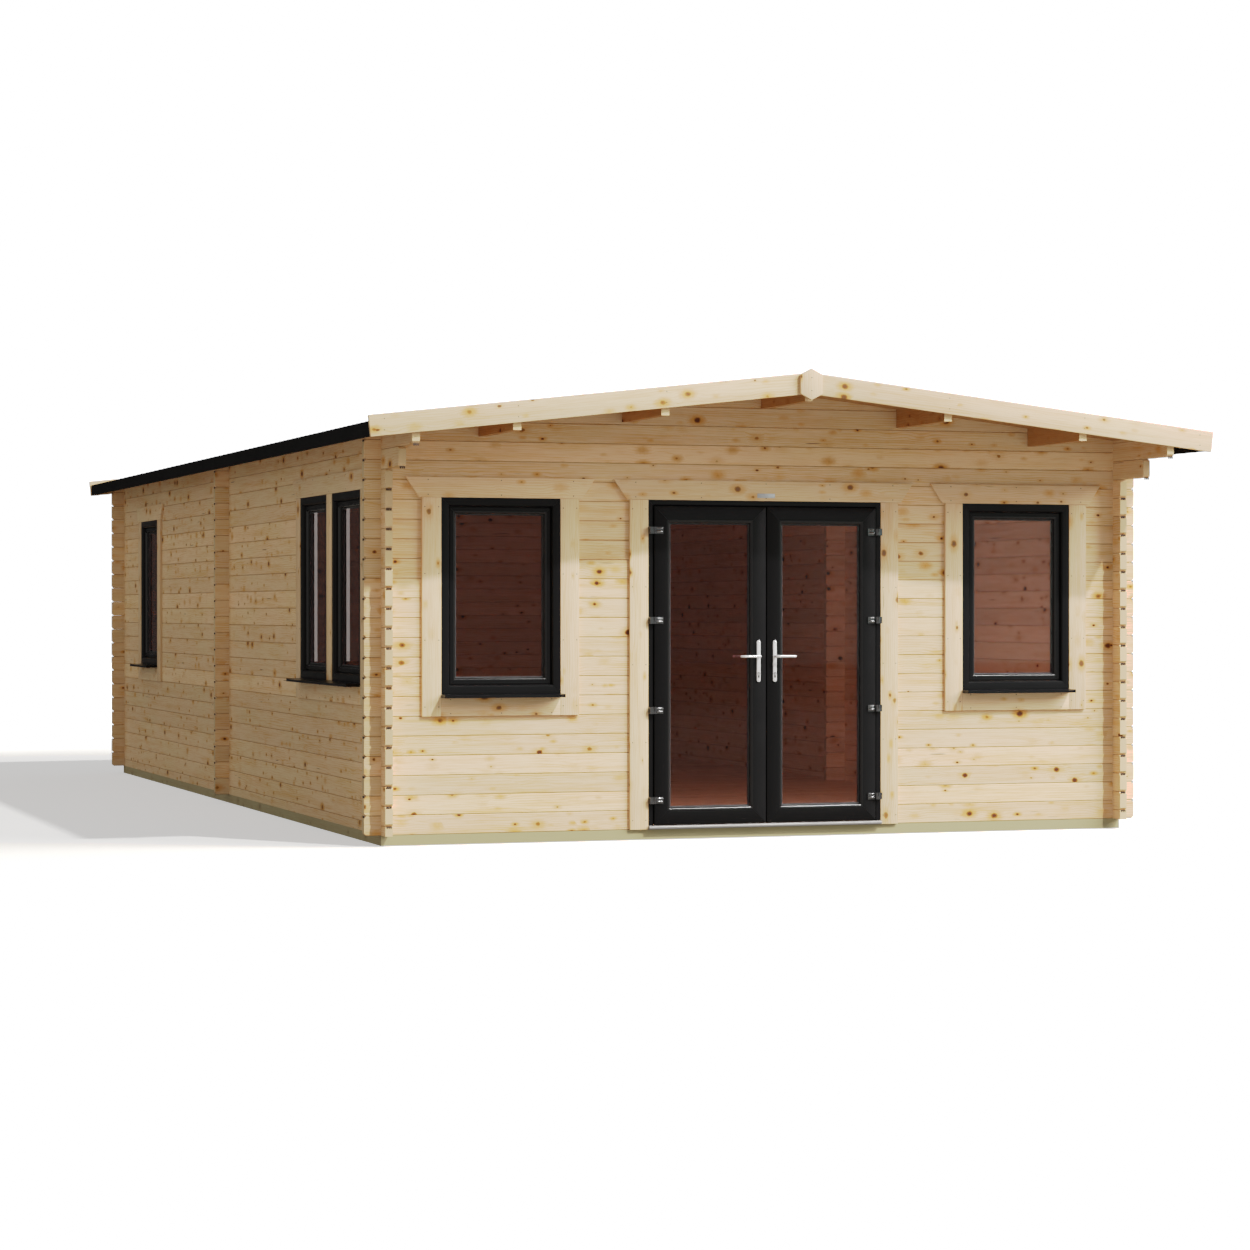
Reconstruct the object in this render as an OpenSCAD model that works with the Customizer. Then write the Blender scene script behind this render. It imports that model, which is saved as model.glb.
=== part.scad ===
// Log cabin with interlocking corners, a low gabled roof and glazed double doors.
// Millimetres. X runs along the front wall, Y from the front to the back, Z up.
// The origin is the middle of the plan at ground level, on the underside of the middle bearer.

/* [Cabin] */
// Width over the outer faces of the side walls
cabin_w = 4740; // [4400:10:5700]
// Length over the outer faces of the end walls
cabin_l = 8660; // [7000:10:10400]

/* [Logs] */
// Thickness of a log
log_t = 44; // [35:1:60]
// Height that one course adds to a wall
log_h = 114; // [100:1:137]
// Whole courses in a side wall, above its first half log
course_count = 20; // [19:1:22]
// How far a log's end stands past the wall that it crosses
log_end = 100; // [70:5:150]
// Chamfer along a log's edges, which shows as a V between two courses
seam_chamfer = 4; // [1:0.5:7]
// Chamfer at the top and bottom of a log's free end
end_chamfer = 14; // [4:1:20]
// How far the course under the top one stands out at the front
lower_corbel = 400; // [200:10:500]
// Length of the crossing wall inside, halfway along each side
stub_inside = 150; // [80:10:300]

/* [Base] */
// Height of the bearers under the walls and floor
bearer_h = 60; // [40:1:100]
// Width of a bearer
bearer_w = 70; // [60:1:100]
// Thickness of the floor
floor_t = 19; // [16:1:28]
// Bearers between the two outer ones
inner_bearers = 5; // [3:2:9]

/* [Roof] */
// Rise of the roof over each metre
roof_rise = 112.5; // [80:2.5:130]
// Distance from the side wall's face to the end of a barge board
eave_overhang = 255; // [200:5:400]
// Distance from the front wall's face to the back of the front barge boards
front_overhang = 700; // [550:10:900]
// Distance from the back wall's face to the front of the back barge boards
back_overhang = 170; // [120:10:400]
// Distance from the side wall's face to the middle of the outer purlin
outer_purlin_in = 608; // [450:2:800]
// Thickness of the roof boards
roof_board_t = 19; // [16:1:25]
// Thickness of the felt
felt_t = 4; // [2:0.5:6]
// Height of the felt covered board along the eaves
fascia_h = 85; // [60:1:110]
// Thickness of that board
fascia_t = 18; // [15:1:25]
// Depth of a barge board
barge_h = 120; // [100:1:150]
// Thickness of a barge board
barge_t = 24; // [18:1:32]
// How far a barge board's top edge stands above the roof boards' underside
barge_up = 54; // [40:1:70]
// Width of the block over the joint of the barge boards
apex_block_w = 137; // [100:1:180]
// Height of that block, from point to point
apex_block_h = 180; // [160:1:220]
// Thickness of that block
apex_block_t = 22; // [16:1:30]
// Thickness of a purlin
purlin_t = 48; // [40:1:70]
// Depth of a purlin at its middle
purlin_h = 109; // [90:1:125]

/* [Windows] */
// Width of a window
window_w = 724; // [620:2:800]
// Height of a window, with its cill
window_h = 1154; // [900:2:1250]
// Distance from the side wall's face to the front windows
front_window_in = 355; // [250:5:460]
// Distance from the front wall's face to the first side window
side_window_in = 415; // [330:5:600]
// Width of the post between the paired windows
mullion_w = 131; // [100:1:200]
// Distance from the back wall's face to the rear side window
rear_window_in = 935; // [500:5:1200]
// Face width of a window's fixed frame
frame_face = 52; // [40:1:70]
// Face width of its sash
sash_face = 42; // [30:1:60]
// Depth of the plastic frames
frame_depth = 70; // [60:1:80]
// How far a frame stands out of the wall
frame_proud = 16; // [8:1:20]
// How far the sash is sunk behind the frame's face
sash_sunk = 20; // [10:1:30]
// How far the glass lies behind the sash's face
glass_sunk = 20; // [10:1:25]
// Thickness of the glass units
glass_t = 24; // [20:1:36]
// How far a cill's nose stands out of the wall
cill_out = 108; // [80:1:150]
// Height of a cill under the window frame
cill_h = 14; // [10:1:25]

/* [Trim] */
// Width of the boards round windows and door
trim_w = 115; // [90:1:130]
// Thickness of those boards
trim_t = 20; // [16:1:28]
// Height of the head board
head_h = 118; // [90:1:130]
// How far the head board's lower corners stand past the opening
head_low = 134; // [130:1:150]
// How far its upper corners stand past the opening
head_high = 214; // [150:1:225]

/* [Door] */
// Width of the door frame
door_w = 1493; // [1240:1:1700]
// Height of the door and window heads above the bearers
head_z = 1952; // [1900:2:2000]
// Face width of the door frame beside a leaf
door_frame_face = 31; // [25:1:45]
// Clearance round a leaf
leaf_gap = 5; // [5:0.5:8]
// Clearance between the two leaves
meeting_gap = 6; // [5:0.5:10]
// Face width of a leaf's stiles and rails
leaf_face = 102; // [85:1:125]
// How far a leaf's face stands out of the door frame
leaf_proud = 10; // [5:1:20]
// Height of the threshold
threshold_h = 22; // [15:1:35]
// How far the threshold's nose stands out of the wall
threshold_out = 40; // [25:1:60]
// Number of hinges on a leaf
hinge_count = 4; // [3:1:5]
// Radius of a hinge's barrel
barrel_r = 9; // [7:0.5:12]
// Radius of a hinge's pin
pin_r = 4; // [3:0.5:5]
// Height of a hinge
hinge_h = 40; // [36:1:60]
// Length of a lever from its pivot
lever_l = 125; // [100:1:150]
// Height of the levers above the ground
lever_z = 1082; // [950:1:1150]
// Height of a handle's back plate
plate_h = 249; // [200:1:270]
// Width of a handle's back plate
plate_w = 31; // [26:1:36]

/* [Hidden] */
// Play between neighbouring logs, so that each is a solid of its own
log_play = 0.4;
// Play between a frame and its opening
fit = 0.5;
// Play between the layers of the roof
roof_play = 0.2;
// How far a cutting shape runs past what it cuts
over = 1;
// Play round a pin or spindle that turns
turn_play = 0.05;
half_w = cabin_w / 2;
half_l = cabin_l / 2;
half_log = log_t / 2;
base_z = bearer_h;
slope = roof_rise / 1000;
slope_deg = atan(slope);
// The top side log stands a little above its course and is bevelled to the roof
top_log_extra = 12;
wall_top = base_z + (course_count + 0.5) * log_h + top_log_extra;
ridge_z = under(0);
last_course = ceil((ridge_z - base_z) / log_h) - 1;
door_courses = floor(head_z / log_h);
front_y = -half_l;
back_y = half_l;
roof_front = front_y - front_overhang;
roof_back = back_y + back_overhang;
roof_len = roof_back - roof_front;
// The eave board's outer face lies this far inside the ends of the barge boards
fascia_in = 20;
fascia_x = half_w + eave_overhang - fascia_in;
purlin_pitch = (half_w - outer_purlin_in) / 2;
purlin_xs = [-2 * purlin_pitch, -purlin_pitch, purlin_pitch, 2 * purlin_pitch];

// Apex block: its point above the barge boards, the drop to its shoulders, its lower point
block_up = 22;
block_shoulder = 34;
block_point = 36;

// Windows: the head is level with the door's on the end walls, half a course up on the sides
end_head = base_z + head_z;
side_head = end_head + log_h / 2;
front_window_x = half_w - front_window_in - window_w / 2;
pair_y = [front_y + side_window_in + window_w / 2,
          front_y + side_window_in + 1.5 * window_w + mullion_w];
pair_mid = (pair_y[0] + pair_y[1]) / 2;
pair_w = 2 * window_w + mullion_w;
rear_y = back_y - rear_window_in - window_w / 2;
window_frame_h = window_h - cill_h;
// How far a cill's underside lies below the window outside the wall
cill_drop = 2;

// Door
half_door = door_w / 2;
jamb_in = half_door - door_frame_face;
leaf_edge = jamb_in - leaf_gap;
leaf_w = leaf_edge - meeting_gap / 2;
leaf_z0 = base_z + threshold_h + leaf_gap;
leaf_z1 = end_head - door_frame_face - leaf_gap;
stop_t = 12;
stop_w = 15;
face_y = front_y - frame_proud;
leaf_y = face_y - leaf_proud;
stop_y = face_y + frame_depth - stop_t;
leaf_t = stop_y - leaf_gap - leaf_y;
hinge_x = leaf_edge + leaf_gap / 2;
// Gap between a leaf's face and a hinge's barrel, and from a leaf's end to its first hinge
barrel_gap = 5;
hinge_end = 145;
hinge_y = leaf_y - barrel_r - barrel_gap;
hinge_low = leaf_z0 + hinge_end;
hinge_high = leaf_z1 - hinge_end;
hinge_plate_t = 6;
hinge_plate_w = 46;
plate_t = 8;
plate_x = 52;
neck_r = 9.5;
spindle_r = 6;
neck_l = 42;
grip_r = 8.5;
plate_above = 96;

// Colours
pine = "#e0c896";
pale_pine = "#ecdcb4";
treated = "#9aa088";
black_plastic = "#26282a";
black_felt = "#1b1b1b";
bronze_glass = "#6a4236";
aluminium = "#c4c6c6";
chrome = "#d8d8d8";
hinge_grey = "#55575a";

// Height of the roof boards' underside at a distance from the middle
function under(x) = wall_top + slope * (half_w - abs(x));

// Everything below a line that runs at the given height above the roof boards' underside
module below_roof(lift = 0) {
    margin = 100;
    far = half_w + eave_overhang + margin;
    translate([0, roof_back + margin, 0])
        rotate([90, 0, 0])
            linear_extrude(roof_len + 2 * margin)
                polygon([[-far, -margin], [far, -margin], [far, under(far) + lift],
                         [0, under(0) + lift], [-far, under(far) + lift]]);
}

// A log's cross section: thickness along X, height along Y
module log_section(z0, z1) {
    c = seam_chamfer;
    polygon([[c, z0], [log_t - c, z0], [log_t, z0 + c], [log_t, z1 - c],
             [log_t - c, z1], [c, z1], [0, z1 - c], [0, z0 + c]]);
}

// A log's side outline: length along X, height along Y.
// crossings are the middles of the walls that it crosses, frees tells which ends are free.
module log_outline(a, b, z0, z1, crossings, frees, holes) {
    notch_w = log_t + log_play;
    notch_h = log_h / 4 + log_play / 2;
    difference() {
        translate([a, z0])
            square([b - a, z1 - z0]);
        for (c = crossings) {
            translate([c - notch_w / 2, z0 - over])
                square([notch_w, notch_h + over]);
            translate([c - notch_w / 2, z0 + 3 * log_h / 4 - log_play])
                square([notch_w, log_h]);
        }
        for (z = [z0, z1]) {
            if (frees[0])
                translate([a, z])
                    circle(end_chamfer, $fn = 4);
            if (frees[1])
                translate([b, z])
                    circle(end_chamfer, $fn = 4);
        }
        for (h = holes)
            translate([h[0], h[2]])
                square([h[1] - h[0], h[3] - h[2]]);
    }
}

// A log that runs along X, with its outer or inner face at y
module log_x(a, b, y, z0, z1, crossings = [], frees = [false, false], holes = []) {
    intersection() {
        translate([0, y + log_t, 0])
            rotate([90, 0, 0])
                linear_extrude(log_t)
                    log_outline(a, b, z0, z1, crossings, frees, holes);
        translate([a - over, y, 0])
            rotate([90, 0, 90])
                linear_extrude(b - a + 2 * over)
                    log_section(z0, z1);
    }
}

// A log that runs along Y, with its face of lower X at x
module log_y(a, b, x, z0, z1, crossings = [], frees = [false, false], holes = []) {
    intersection() {
        translate([x, 0, 0])
            rotate([90, 0, 90])
                linear_extrude(log_t)
                    log_outline(a, b, z0, z1, crossings, frees, holes);
        translate([x, b + over, 0])
            rotate([90, 0, 0])
                linear_extrude(b - a + 2 * over)
                    log_section(z0, z1);
    }
}

// Height of the lower face of a course on the end walls
function end_course(j) = base_z + j * log_h;

// Height of the lower face of a course on the side walls, which start with a half log
function side_course(k) = k == 0 ? base_z : base_z + (k - 0.5) * log_h;

// Section of the purlins, each with its top bevelled to the roof
module purlin_section(play = 0) {
    w = purlin_t / 2 + play;
    for (x = concat([0], purlin_xs))
        polygon([[x - w, under(x) - purlin_h - play], [x + w, under(x) - purlin_h - play],
                 [x + w, under(x + w) + 2 * play], [x, under(x) + 2 * play],
                 [x - w, under(x - w) + 2 * play]]);
}

module purlin_cut() {
    translate([0, roof_back, 0])
        rotate([90, 0, 0])
            linear_extrude(roof_len)
                purlin_section(log_play / 2);
}

// Courses j0 to j1 of a wall that runs along X
module end_courses(j0, j1, a, b, y, crossings, frees, holes = []) {
    for (j = [j0 : j1])
        log_x(a, b, y, end_course(j) + log_play / 2, end_course(j + 1) - log_play / 2,
              crossings, frees, holes);
}

corner_xs = [-half_w + half_log, half_w - half_log];

// The courses that the roof's slope and the purlins cut
module gable_courses(j0, y, holes = []) {
    difference() {
        intersection() {
            end_courses(j0, last_course, -half_w - log_end, half_w + log_end, y,
                        corner_xs, [true, true], holes);
            below_roof(-log_play / 2);
        }
        purlin_cut();
    }
}

front_holes = [
    [-half_door - fit, half_door + fit, 0, end_head + fit],
    [-front_window_x - window_w / 2 - fit, -front_window_x + window_w / 2 + fit,
     end_head - window_h - fit, end_head + fit],
    [front_window_x - window_w / 2 - fit, front_window_x + window_w / 2 + fit,
     end_head - window_h - fit, end_head + fit]];

side_holes = [
    [pair_y[0] - window_w / 2 - fit, pair_y[1] + window_w / 2 + fit,
     side_head - window_h - fit, side_head + fit],
    [rear_y - window_w / 2 - fit, rear_y + window_w / 2 + fit,
     side_head - window_h - fit, side_head + fit]];

module front_half() {
    color(pine)
        end_courses(0, door_courses - 1, -half_w - log_end, 0, front_y,
                    [corner_xs[0]], [true, false], front_holes);
}

module front_wall_left() {
    front_half();
}

module front_wall_right() {
    mirror([1, 0, 0])
        front_half();
}

module front_gable() {
    color(pine)
        gable_courses(door_courses, front_y, front_holes);
}

module back_wall() {
    color(pine) {
        end_courses(0, door_courses - 1, -half_w - log_end, half_w + log_end,
                    back_y - log_t, corner_xs, [true, true]);
        gable_courses(door_courses, back_y - log_t);
    }
}

// The front half of the left side wall, from the corner to the joint over the middle stub
module side_front(holes = []) {
    for (k = [0 : course_count]) {
        out = k == course_count ? front_overhang
            : k == course_count - 1 ? lower_corbel : log_end;
        side_log(k, front_y - out, -log_play / 2, [front_y + half_log, 0],
                 [k > 0, false], holes);
    }
}

module side_back(holes = []) {
    for (k = [0 : course_count]) {
        out = k == course_count ? back_overhang : log_end;
        side_log(k, log_play / 2, back_y + out, [0, back_y - half_log],
                 [false, k > 0], holes);
    }
}

module side_log(k, a, b, crossings, frees, holes) {
    z0 = side_course(k) + log_play / 2;
    if (k == 0) {
        // The first half log has no lower notch, so its outline starts a half course down
        intersection() {
            log_y(a, b, -half_w, z0 - log_h / 2, z0 + log_h / 2 - log_play, crossings, frees);
            translate([-half_w - over, a - over, z0])
                cube([log_t + 2 * over, b - a + 2 * over, log_h]);
        }
    } else if (k == course_count) {
        // The top log is cut down from a taller one
        intersection() {
            log_y(a, b, -half_w, z0, z0 + 1.5 * log_h, crossings, frees);
            below_roof(-log_play / 2);
        }
    } else {
        log_y(a, b, -half_w, z0, z0 + log_h - log_play, crossings, frees, holes);
    }
}

// The post between the paired windows
module mullion_post() {
    translate([-half_w, pair_mid - mullion_w / 2 + fit, side_head - window_frame_h + log_play])
        cube([log_t, mullion_w - 2 * fit, window_frame_h - log_play]);
}

module left_wall_front() {
    color(pine) {
        side_front([side_holes[0]]);
        mullion_post();
    }
}

module left_wall_back() {
    color(pine)
        side_back([side_holes[1]]);
}

module right_wall_front() {
    color(pine)
        mirror([1, 0, 0])
            side_front();
}

module right_wall_back() {
    color(pine)
        mirror([1, 0, 0])
            side_back();
}

// The short crossing wall that ties the joint in the side wall's logs
module stub() {
    color(pine)
        intersection() {
            end_courses(0, course_count, -half_w - log_end, -half_w + log_t + stub_inside,
                        -half_log, [corner_xs[0]], [true, true]);
            below_roof(-log_play / 2);
        }
}

module mid_stub_left() {
    stub();
}

module mid_stub_right() {
    mirror([1, 0, 0])
        stub();
}

module base_bearers() {
    pitch = (cabin_w - bearer_w) / (inner_bearers + 1);
    long_l = cabin_l - 2 * bearer_w - 2 * log_play;
    color(treated) {
        for (s = [-1, 1])
            translate([-half_w, s * (half_l - bearer_w / 2) - bearer_w / 2, 0])
                cube([cabin_w, bearer_w, bearer_h]);
        for (i = [0 : inner_bearers + 1])
            translate([-half_w + i * pitch, -long_l / 2, 0])
                cube([bearer_w, long_l, bearer_h]);
    }
}

module floor_boards() {
    edge = log_t + fit;
    difference() {
        color(pine)
            translate([-half_w + edge, front_y + edge, bearer_h])
                cube([cabin_w - 2 * edge, cabin_l - 2 * edge, floor_t]);
        // Room for the middle stubs and for the door frame's inner edge
        for (s = [-1, 1])
            translate([s * (half_w - edge) - stub_inside - over, -half_log - over, bearer_h - over])
                cube([2 * (stub_inside + over), log_t + 2 * over, floor_t + 2 * over]);
        translate([-half_door - over, front_y, bearer_h - over])
            cube([door_w + 2 * over, frame_depth - frame_proud + fit, floor_t + 2 * over]);
    }
}

module ridge_purlin() {
    color(pine)
        translate([0, roof_back, 0])
            rotate([90, 0, 0])
                linear_extrude(roof_len)
                    intersection() {
                        purlin_section();
                        translate([-purlin_t, 0])
                            square([2 * purlin_t, ridge_z + over]);
                    }
}

module side_purlins() {
    color(pine)
        translate([0, roof_back, 0])
            rotate([90, 0, 0])
                linear_extrude(roof_len)
                    difference() {
                        purlin_section();
                        translate([-purlin_t, 0])
                            square([2 * purlin_t, ridge_z + over]);
                    }
}

// A sheet that follows the left slope from the ridge to x, between two heights above the underside
module slope_sheet(x, low, high) {
    translate([0, roof_back, 0])
        rotate([90, 0, 0])
            linear_extrude(roof_len)
                polygon([[0, under(0) + low], [-x, under(x) + low],
                         [-x, under(x) + high], [0, under(0) + high]]);
}

module roof_boards_left() {
    color(pine)
        slope_sheet(fascia_x - fascia_t - roof_play, roof_play, boards_top);
}

module roof_boards_right() {
    mirror([1, 0, 0])
        roof_boards_left();
}

// Heights of the roof boards' top and of the felt's two faces above the boards' seat
boards_top = roof_play + roof_board_t;
felt_low = boards_top + roof_play;
felt_high = felt_low + felt_t;
fascia_low = under(fascia_x) + felt_high - fascia_h;

// Felt over the boards, turned down over the eave board
module roof_felt_left() {
    inner = fascia_x + roof_play;
    lap = inner + felt_t;
    color(black_felt)
        translate([0, roof_back, 0])
            rotate([90, 0, 0])
                linear_extrude(roof_len)
                    polygon([[0, under(0) + felt_low], [-inner, under(inner) + felt_low],
                             [-inner, fascia_low], [-lap, fascia_low],
                             [-lap, under(lap) + felt_high], [0, under(0) + felt_high]]);
}

module roof_felt_right() {
    mirror([1, 0, 0])
        roof_felt_left();
}

module eave_fascia() {
    inner = fascia_x - fascia_t;
    translate([0, roof_back, 0])
        rotate([90, 0, 0])
            linear_extrude(roof_len)
                polygon([[-inner, fascia_low], [-inner, under(inner) + boards_top],
                         [-fascia_x, under(fascia_x) + boards_top], [-fascia_x, fascia_low]]);
}

module eave_fascias() {
    color(black_felt) {
        eave_fascia();
        mirror([1, 0, 0])
            eave_fascia();
    }
}

// The left barge board, square at its eave end and plumb at the ridge, with its face at y
module barge_board(y) {
    drop = barge_h / cos(slope_deg);
    skew = barge_h * sin(slope_deg);
    end = half_w + eave_overhang;
    mid = log_play / 2;
    color(pale_pine)
        translate([0, y + barge_t, 0])
            rotate([90, 0, 0])
                linear_extrude(barge_t)
                    polygon([[-mid, under(mid) + barge_up - drop],
                             [-mid, under(mid) + barge_up],
                             [-end, under(end) + barge_up],
                             [-end + skew, under(end) + barge_up - barge_h * cos(slope_deg)]]);
}

module barge_pair(y) {
    barge_board(y);
    mirror([1, 0, 0])
        barge_board(y);
}

module barge_boards_front() {
    barge_pair(roof_front - barge_t);
}

module barge_boards_back() {
    barge_pair(roof_back);
}

apex_top = under(0) + barge_up + block_up;

// The pointed block over the joint of two barge boards
module apex_block(y) {
    w = apex_block_w / 2;
    side_top = apex_top - block_shoulder;
    low = apex_top - apex_block_h;
    translate([0, y + apex_block_t, 0])
        rotate([90, 0, 0])
            linear_extrude(apex_block_t)
                polygon([[0, low], [w, low + block_point], [w, side_top],
                         [0, apex_top], [-w, side_top], [-w, low + block_point]]);
}

module apex_blocks() {
    color(pale_pine) {
        apex_block(roof_front - barge_t - apex_block_t);
        apex_block(roof_back + barge_t);
    }
}

// Places its child, drawn for a wall face at y = 0 that looks along -Y, on the front wall
module on_front(x, z) {
    translate([x, front_y, z])
        children();
}

// Places the same child on the left wall
module on_left(y, z) {
    translate([-half_w, y, z])
        rotate([0, 0, -90])
            children();
}

// A rectangular ring, centred on X, standing on z = 0, from y0 back to y1
module ring(w, h, face, y0, y1) {
    translate([0, y1, 0])
        rotate([90, 0, 0])
            linear_extrude(y1 - y0)
                difference() {
                    translate([-w / 2, 0])
                        square([w, h]);
                    translate([-w / 2 + face, face])
                        square([w - 2 * face, h - 2 * face]);
                }
}

module window_frame() {
    color(black_plastic)
        translate([0, 0, -window_frame_h])
            ring(window_w, window_frame_h, frame_face, -frame_proud, frame_depth - frame_proud);
}

module window_sash() {
    color(black_plastic)
        translate([0, 0, -window_frame_h + frame_face])
            ring(window_w - 2 * frame_face, window_frame_h - 2 * frame_face, sash_face,
                 sash_sunk - frame_proud, frame_depth - frame_proud);
}

module window_glass() {
    in = frame_face + sash_face;
    y0 = sash_sunk - frame_proud + glass_sunk;
    color(bronze_glass, 0.5)
        translate([-window_w / 2 + in, y0, -window_frame_h + in])
            cube([window_w - 2 * in, glass_t, window_frame_h - 2 * in]);
}

// A cill under w of window: a level part under the frame and a nose that falls outwards
module cill(w) {
    back = frame_depth - frame_proud;
    fall = 8;
    nose_t = 14;
    color(black_plastic)
        translate([-w / 2, 0, -window_h])
            rotate([90, 0, 90])
                linear_extrude(w)
                    polygon([[back, 0], [back, cill_h], [-frame_proud, cill_h],
                             [-cill_out, cill_h - fall], [-cill_out, cill_h - fall - nose_t],
                             [-trim_t, -cill_drop], [-fit, -cill_drop], [-fit, 0]]);
}

// Boards round an opening w wide and h high, whose head is at z = 0
module trim_boards(w, h, sill) {
    foot = -h - (sill ? trim_w : 0);
    color(pale_pine)
        rotate([90, 0, 0])
            linear_extrude(trim_t) {
                polygon([[-w / 2 - head_low, 0], [w / 2 + head_low, 0],
                         [w / 2 + head_high, head_h], [-w / 2 - head_high, head_h]]);
                for (s = [-1, 1])
                    translate([s * (w + trim_w) / 2 - trim_w / 2, foot])
                        square([trim_w, -foot - log_play]);
                if (sill)
                    translate([-w / 2 + log_play, foot])
                        square([w - 2 * log_play, trim_w - cill_drop - log_play]);
            }
}

module window_frames_front() {
    for (s = [-1, 1])
        on_front(s * front_window_x, end_head)
            window_frame();
}

module window_frames_side() {
    for (y = concat(pair_y, [rear_y]))
        on_left(y, side_head)
            window_frame();
}

module window_sashes_front() {
    for (s = [-1, 1])
        on_front(s * front_window_x, end_head)
            window_sash();
}

module window_sashes_side() {
    for (y = concat(pair_y, [rear_y]))
        on_left(y, side_head)
            window_sash();
}

module window_glass_front() {
    for (s = [-1, 1])
        on_front(s * front_window_x, end_head)
            window_glass();
}

module window_glass_side() {
    for (y = concat(pair_y, [rear_y]))
        on_left(y, side_head)
            window_glass();
}

module window_cills() {
    for (s = [-1, 1])
        on_front(s * front_window_x, end_head)
            cill(window_w);
    on_left(pair_mid, side_head)
        cill(pair_w);
    on_left(rear_y, side_head)
        cill(window_w);
}

module window_trims_front() {
    for (s = [-1, 1])
        on_front(s * front_window_x, end_head)
            trim_boards(window_w, window_h, true);
}

module window_trims_side() {
    on_left(pair_mid, side_head)
        trim_boards(pair_w, window_h, true);
    on_left(rear_y, side_head)
        trim_boards(window_w, window_h, true);
    // The board over the post between the pair
    color(pale_pine)
        translate([-half_w - trim_t, pair_mid - mullion_w / 2, side_head - window_h + cill_h])
            cube([trim_t, mullion_w, window_frame_h - log_play]);
}

module door_trims() {
    on_front(0, end_head)
        trim_boards(door_w, head_z, false);
}

// One side of the door frame with its stop, seen in plan: the left jamb
module jamb_section() {
    polygon([[-half_door, 0], [-half_door, frame_depth], [-jamb_in + stop_w, frame_depth],
             [-jamb_in + stop_w, frame_depth - stop_t], [-jamb_in, frame_depth - stop_t],
             [-jamb_in, 0]]);
}

module jamb_left() {
    translate([0, face_y, base_z + threshold_h])
        linear_extrude(end_head - base_z - threshold_h - door_frame_face - log_play)
            jamb_section();
}

module door_head() {
    translate([0, face_y, 0]) {
        translate([-half_door, 0, end_head - door_frame_face])
            cube([door_w, frame_depth, door_frame_face]);
        translate([-jamb_in + stop_w + log_play, frame_depth - stop_t,
                   end_head - door_frame_face - stop_w])
            cube([2 * (jamb_in - stop_w - log_play), stop_t, stop_w + 1]);
    }
}

module door_frame() {
    color(black_plastic) {
        jamb_left();
        mirror([1, 0, 0])
            jamb_left();
        door_head();
    }
}

module door_threshold() {
    nose = 6;
    back = frame_depth - frame_proud;
    color(aluminium)
        translate([-half_door, front_y, base_z])
            rotate([90, 0, 90])
                linear_extrude(door_w)
                    polygon([[back, 0], [back, threshold_h], [-threshold_out + nose, threshold_h],
                             [-threshold_out, threshold_h - nose], [-threshold_out, 4],
                             [-threshold_out + 8, 4], [-threshold_out + 8, 0]]);
}

// Heights of the hinges' middles
hinge_zs = [for (i = [0 : hinge_count - 1])
    hinge_low + i * (hinge_high - hinge_low) / (hinge_count - 1)];

// Frame half of a left hinge: lower knuckle, pin, and the block on the frame's face
module frame_hinge(z) {
    half = hinge_h / 2;
    block_x = barrel_r + fit;
    edge_in = 2;
    block_w = door_frame_face + leaf_gap / 2 - block_x - edge_in;
    tongue_t = 12;
    translate([-hinge_x, hinge_y, z]) {
        translate([0, 0, -half])
            cylinder(r = barrel_r, h = half - log_play / 2, $fn = 48);
        translate([0, 0, -half])
            cylinder(r = pin_r, h = hinge_h - 1, $fn = 32);
        translate([-block_x - block_w, -tongue_t / 2, -half])
            cube([block_w, face_y - hinge_y + tongue_t / 2, hinge_h]);
        translate([-block_x - over, -tongue_t / 2, -half])
            cube([block_x + over, tongue_t, half - log_play / 2]);
    }
}

module frame_hinges() {
    color(hinge_grey)
        for (z = hinge_zs) {
            frame_hinge(z);
            mirror([1, 0, 0])
                frame_hinge(z);
        }
}

// Leaf half of a left hinge: upper knuckle with its bore, and the plate on the leaf's face
module leaf_hinge(z) {
    half = hinge_h / 2;
    reach = leaf_y - hinge_y;
    translate([-hinge_x, hinge_y, z])
        difference() {
            union() {
                translate([0, 0, log_play / 2])
                    cylinder(r = barrel_r, h = half - log_play / 2, $fn = 48);
                translate([0, 0, log_play / 2])
                    cube([barrel_r + 2 * over, reach, half - log_play / 2]);
                translate([barrel_r + over, reach - hinge_plate_t, -half])
                    cube([hinge_plate_w, hinge_plate_t, hinge_h]);
            }
            translate([0, 0, -over])
                cylinder(r = pin_r + turn_play, h = half + 2 * over, $fn = 32);
        }
}

module leaf_hinges_left() {
    color(hinge_grey)
        for (z = hinge_zs)
            leaf_hinge(z);
}

module leaf_hinges_right() {
    mirror([1, 0, 0])
        leaf_hinges_left();
}

leaf_mid = -(leaf_edge + meeting_gap / 2) / 2;

module door_leaf_left() {
    hole_r = spindle_r + 2;
    color(black_plastic)
        difference() {
            translate([leaf_mid, 0, leaf_z0])
                ring(leaf_w, leaf_z1 - leaf_z0, leaf_face, leaf_y, leaf_y + leaf_t);
            translate([-plate_x, leaf_y - over, lever_z])
                rotate([-90, 0, 0])
                    cylinder(r = hole_r, h = leaf_t + 2 * over, $fn = 32);
        }
}

module door_leaf_right() {
    mirror([1, 0, 0])
        door_leaf_left();
}

module door_glass_left() {
    color(bronze_glass, 0.5)
        translate([leaf_mid - leaf_w / 2 + leaf_face, leaf_y + (leaf_t - glass_t) / 2,
                   leaf_z0 + leaf_face])
            cube([leaf_w - 2 * leaf_face, glass_t, leaf_z1 - leaf_z0 - 2 * leaf_face]);
}

module door_glass_right() {
    mirror([1, 0, 0])
        door_glass_left();
}

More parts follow.
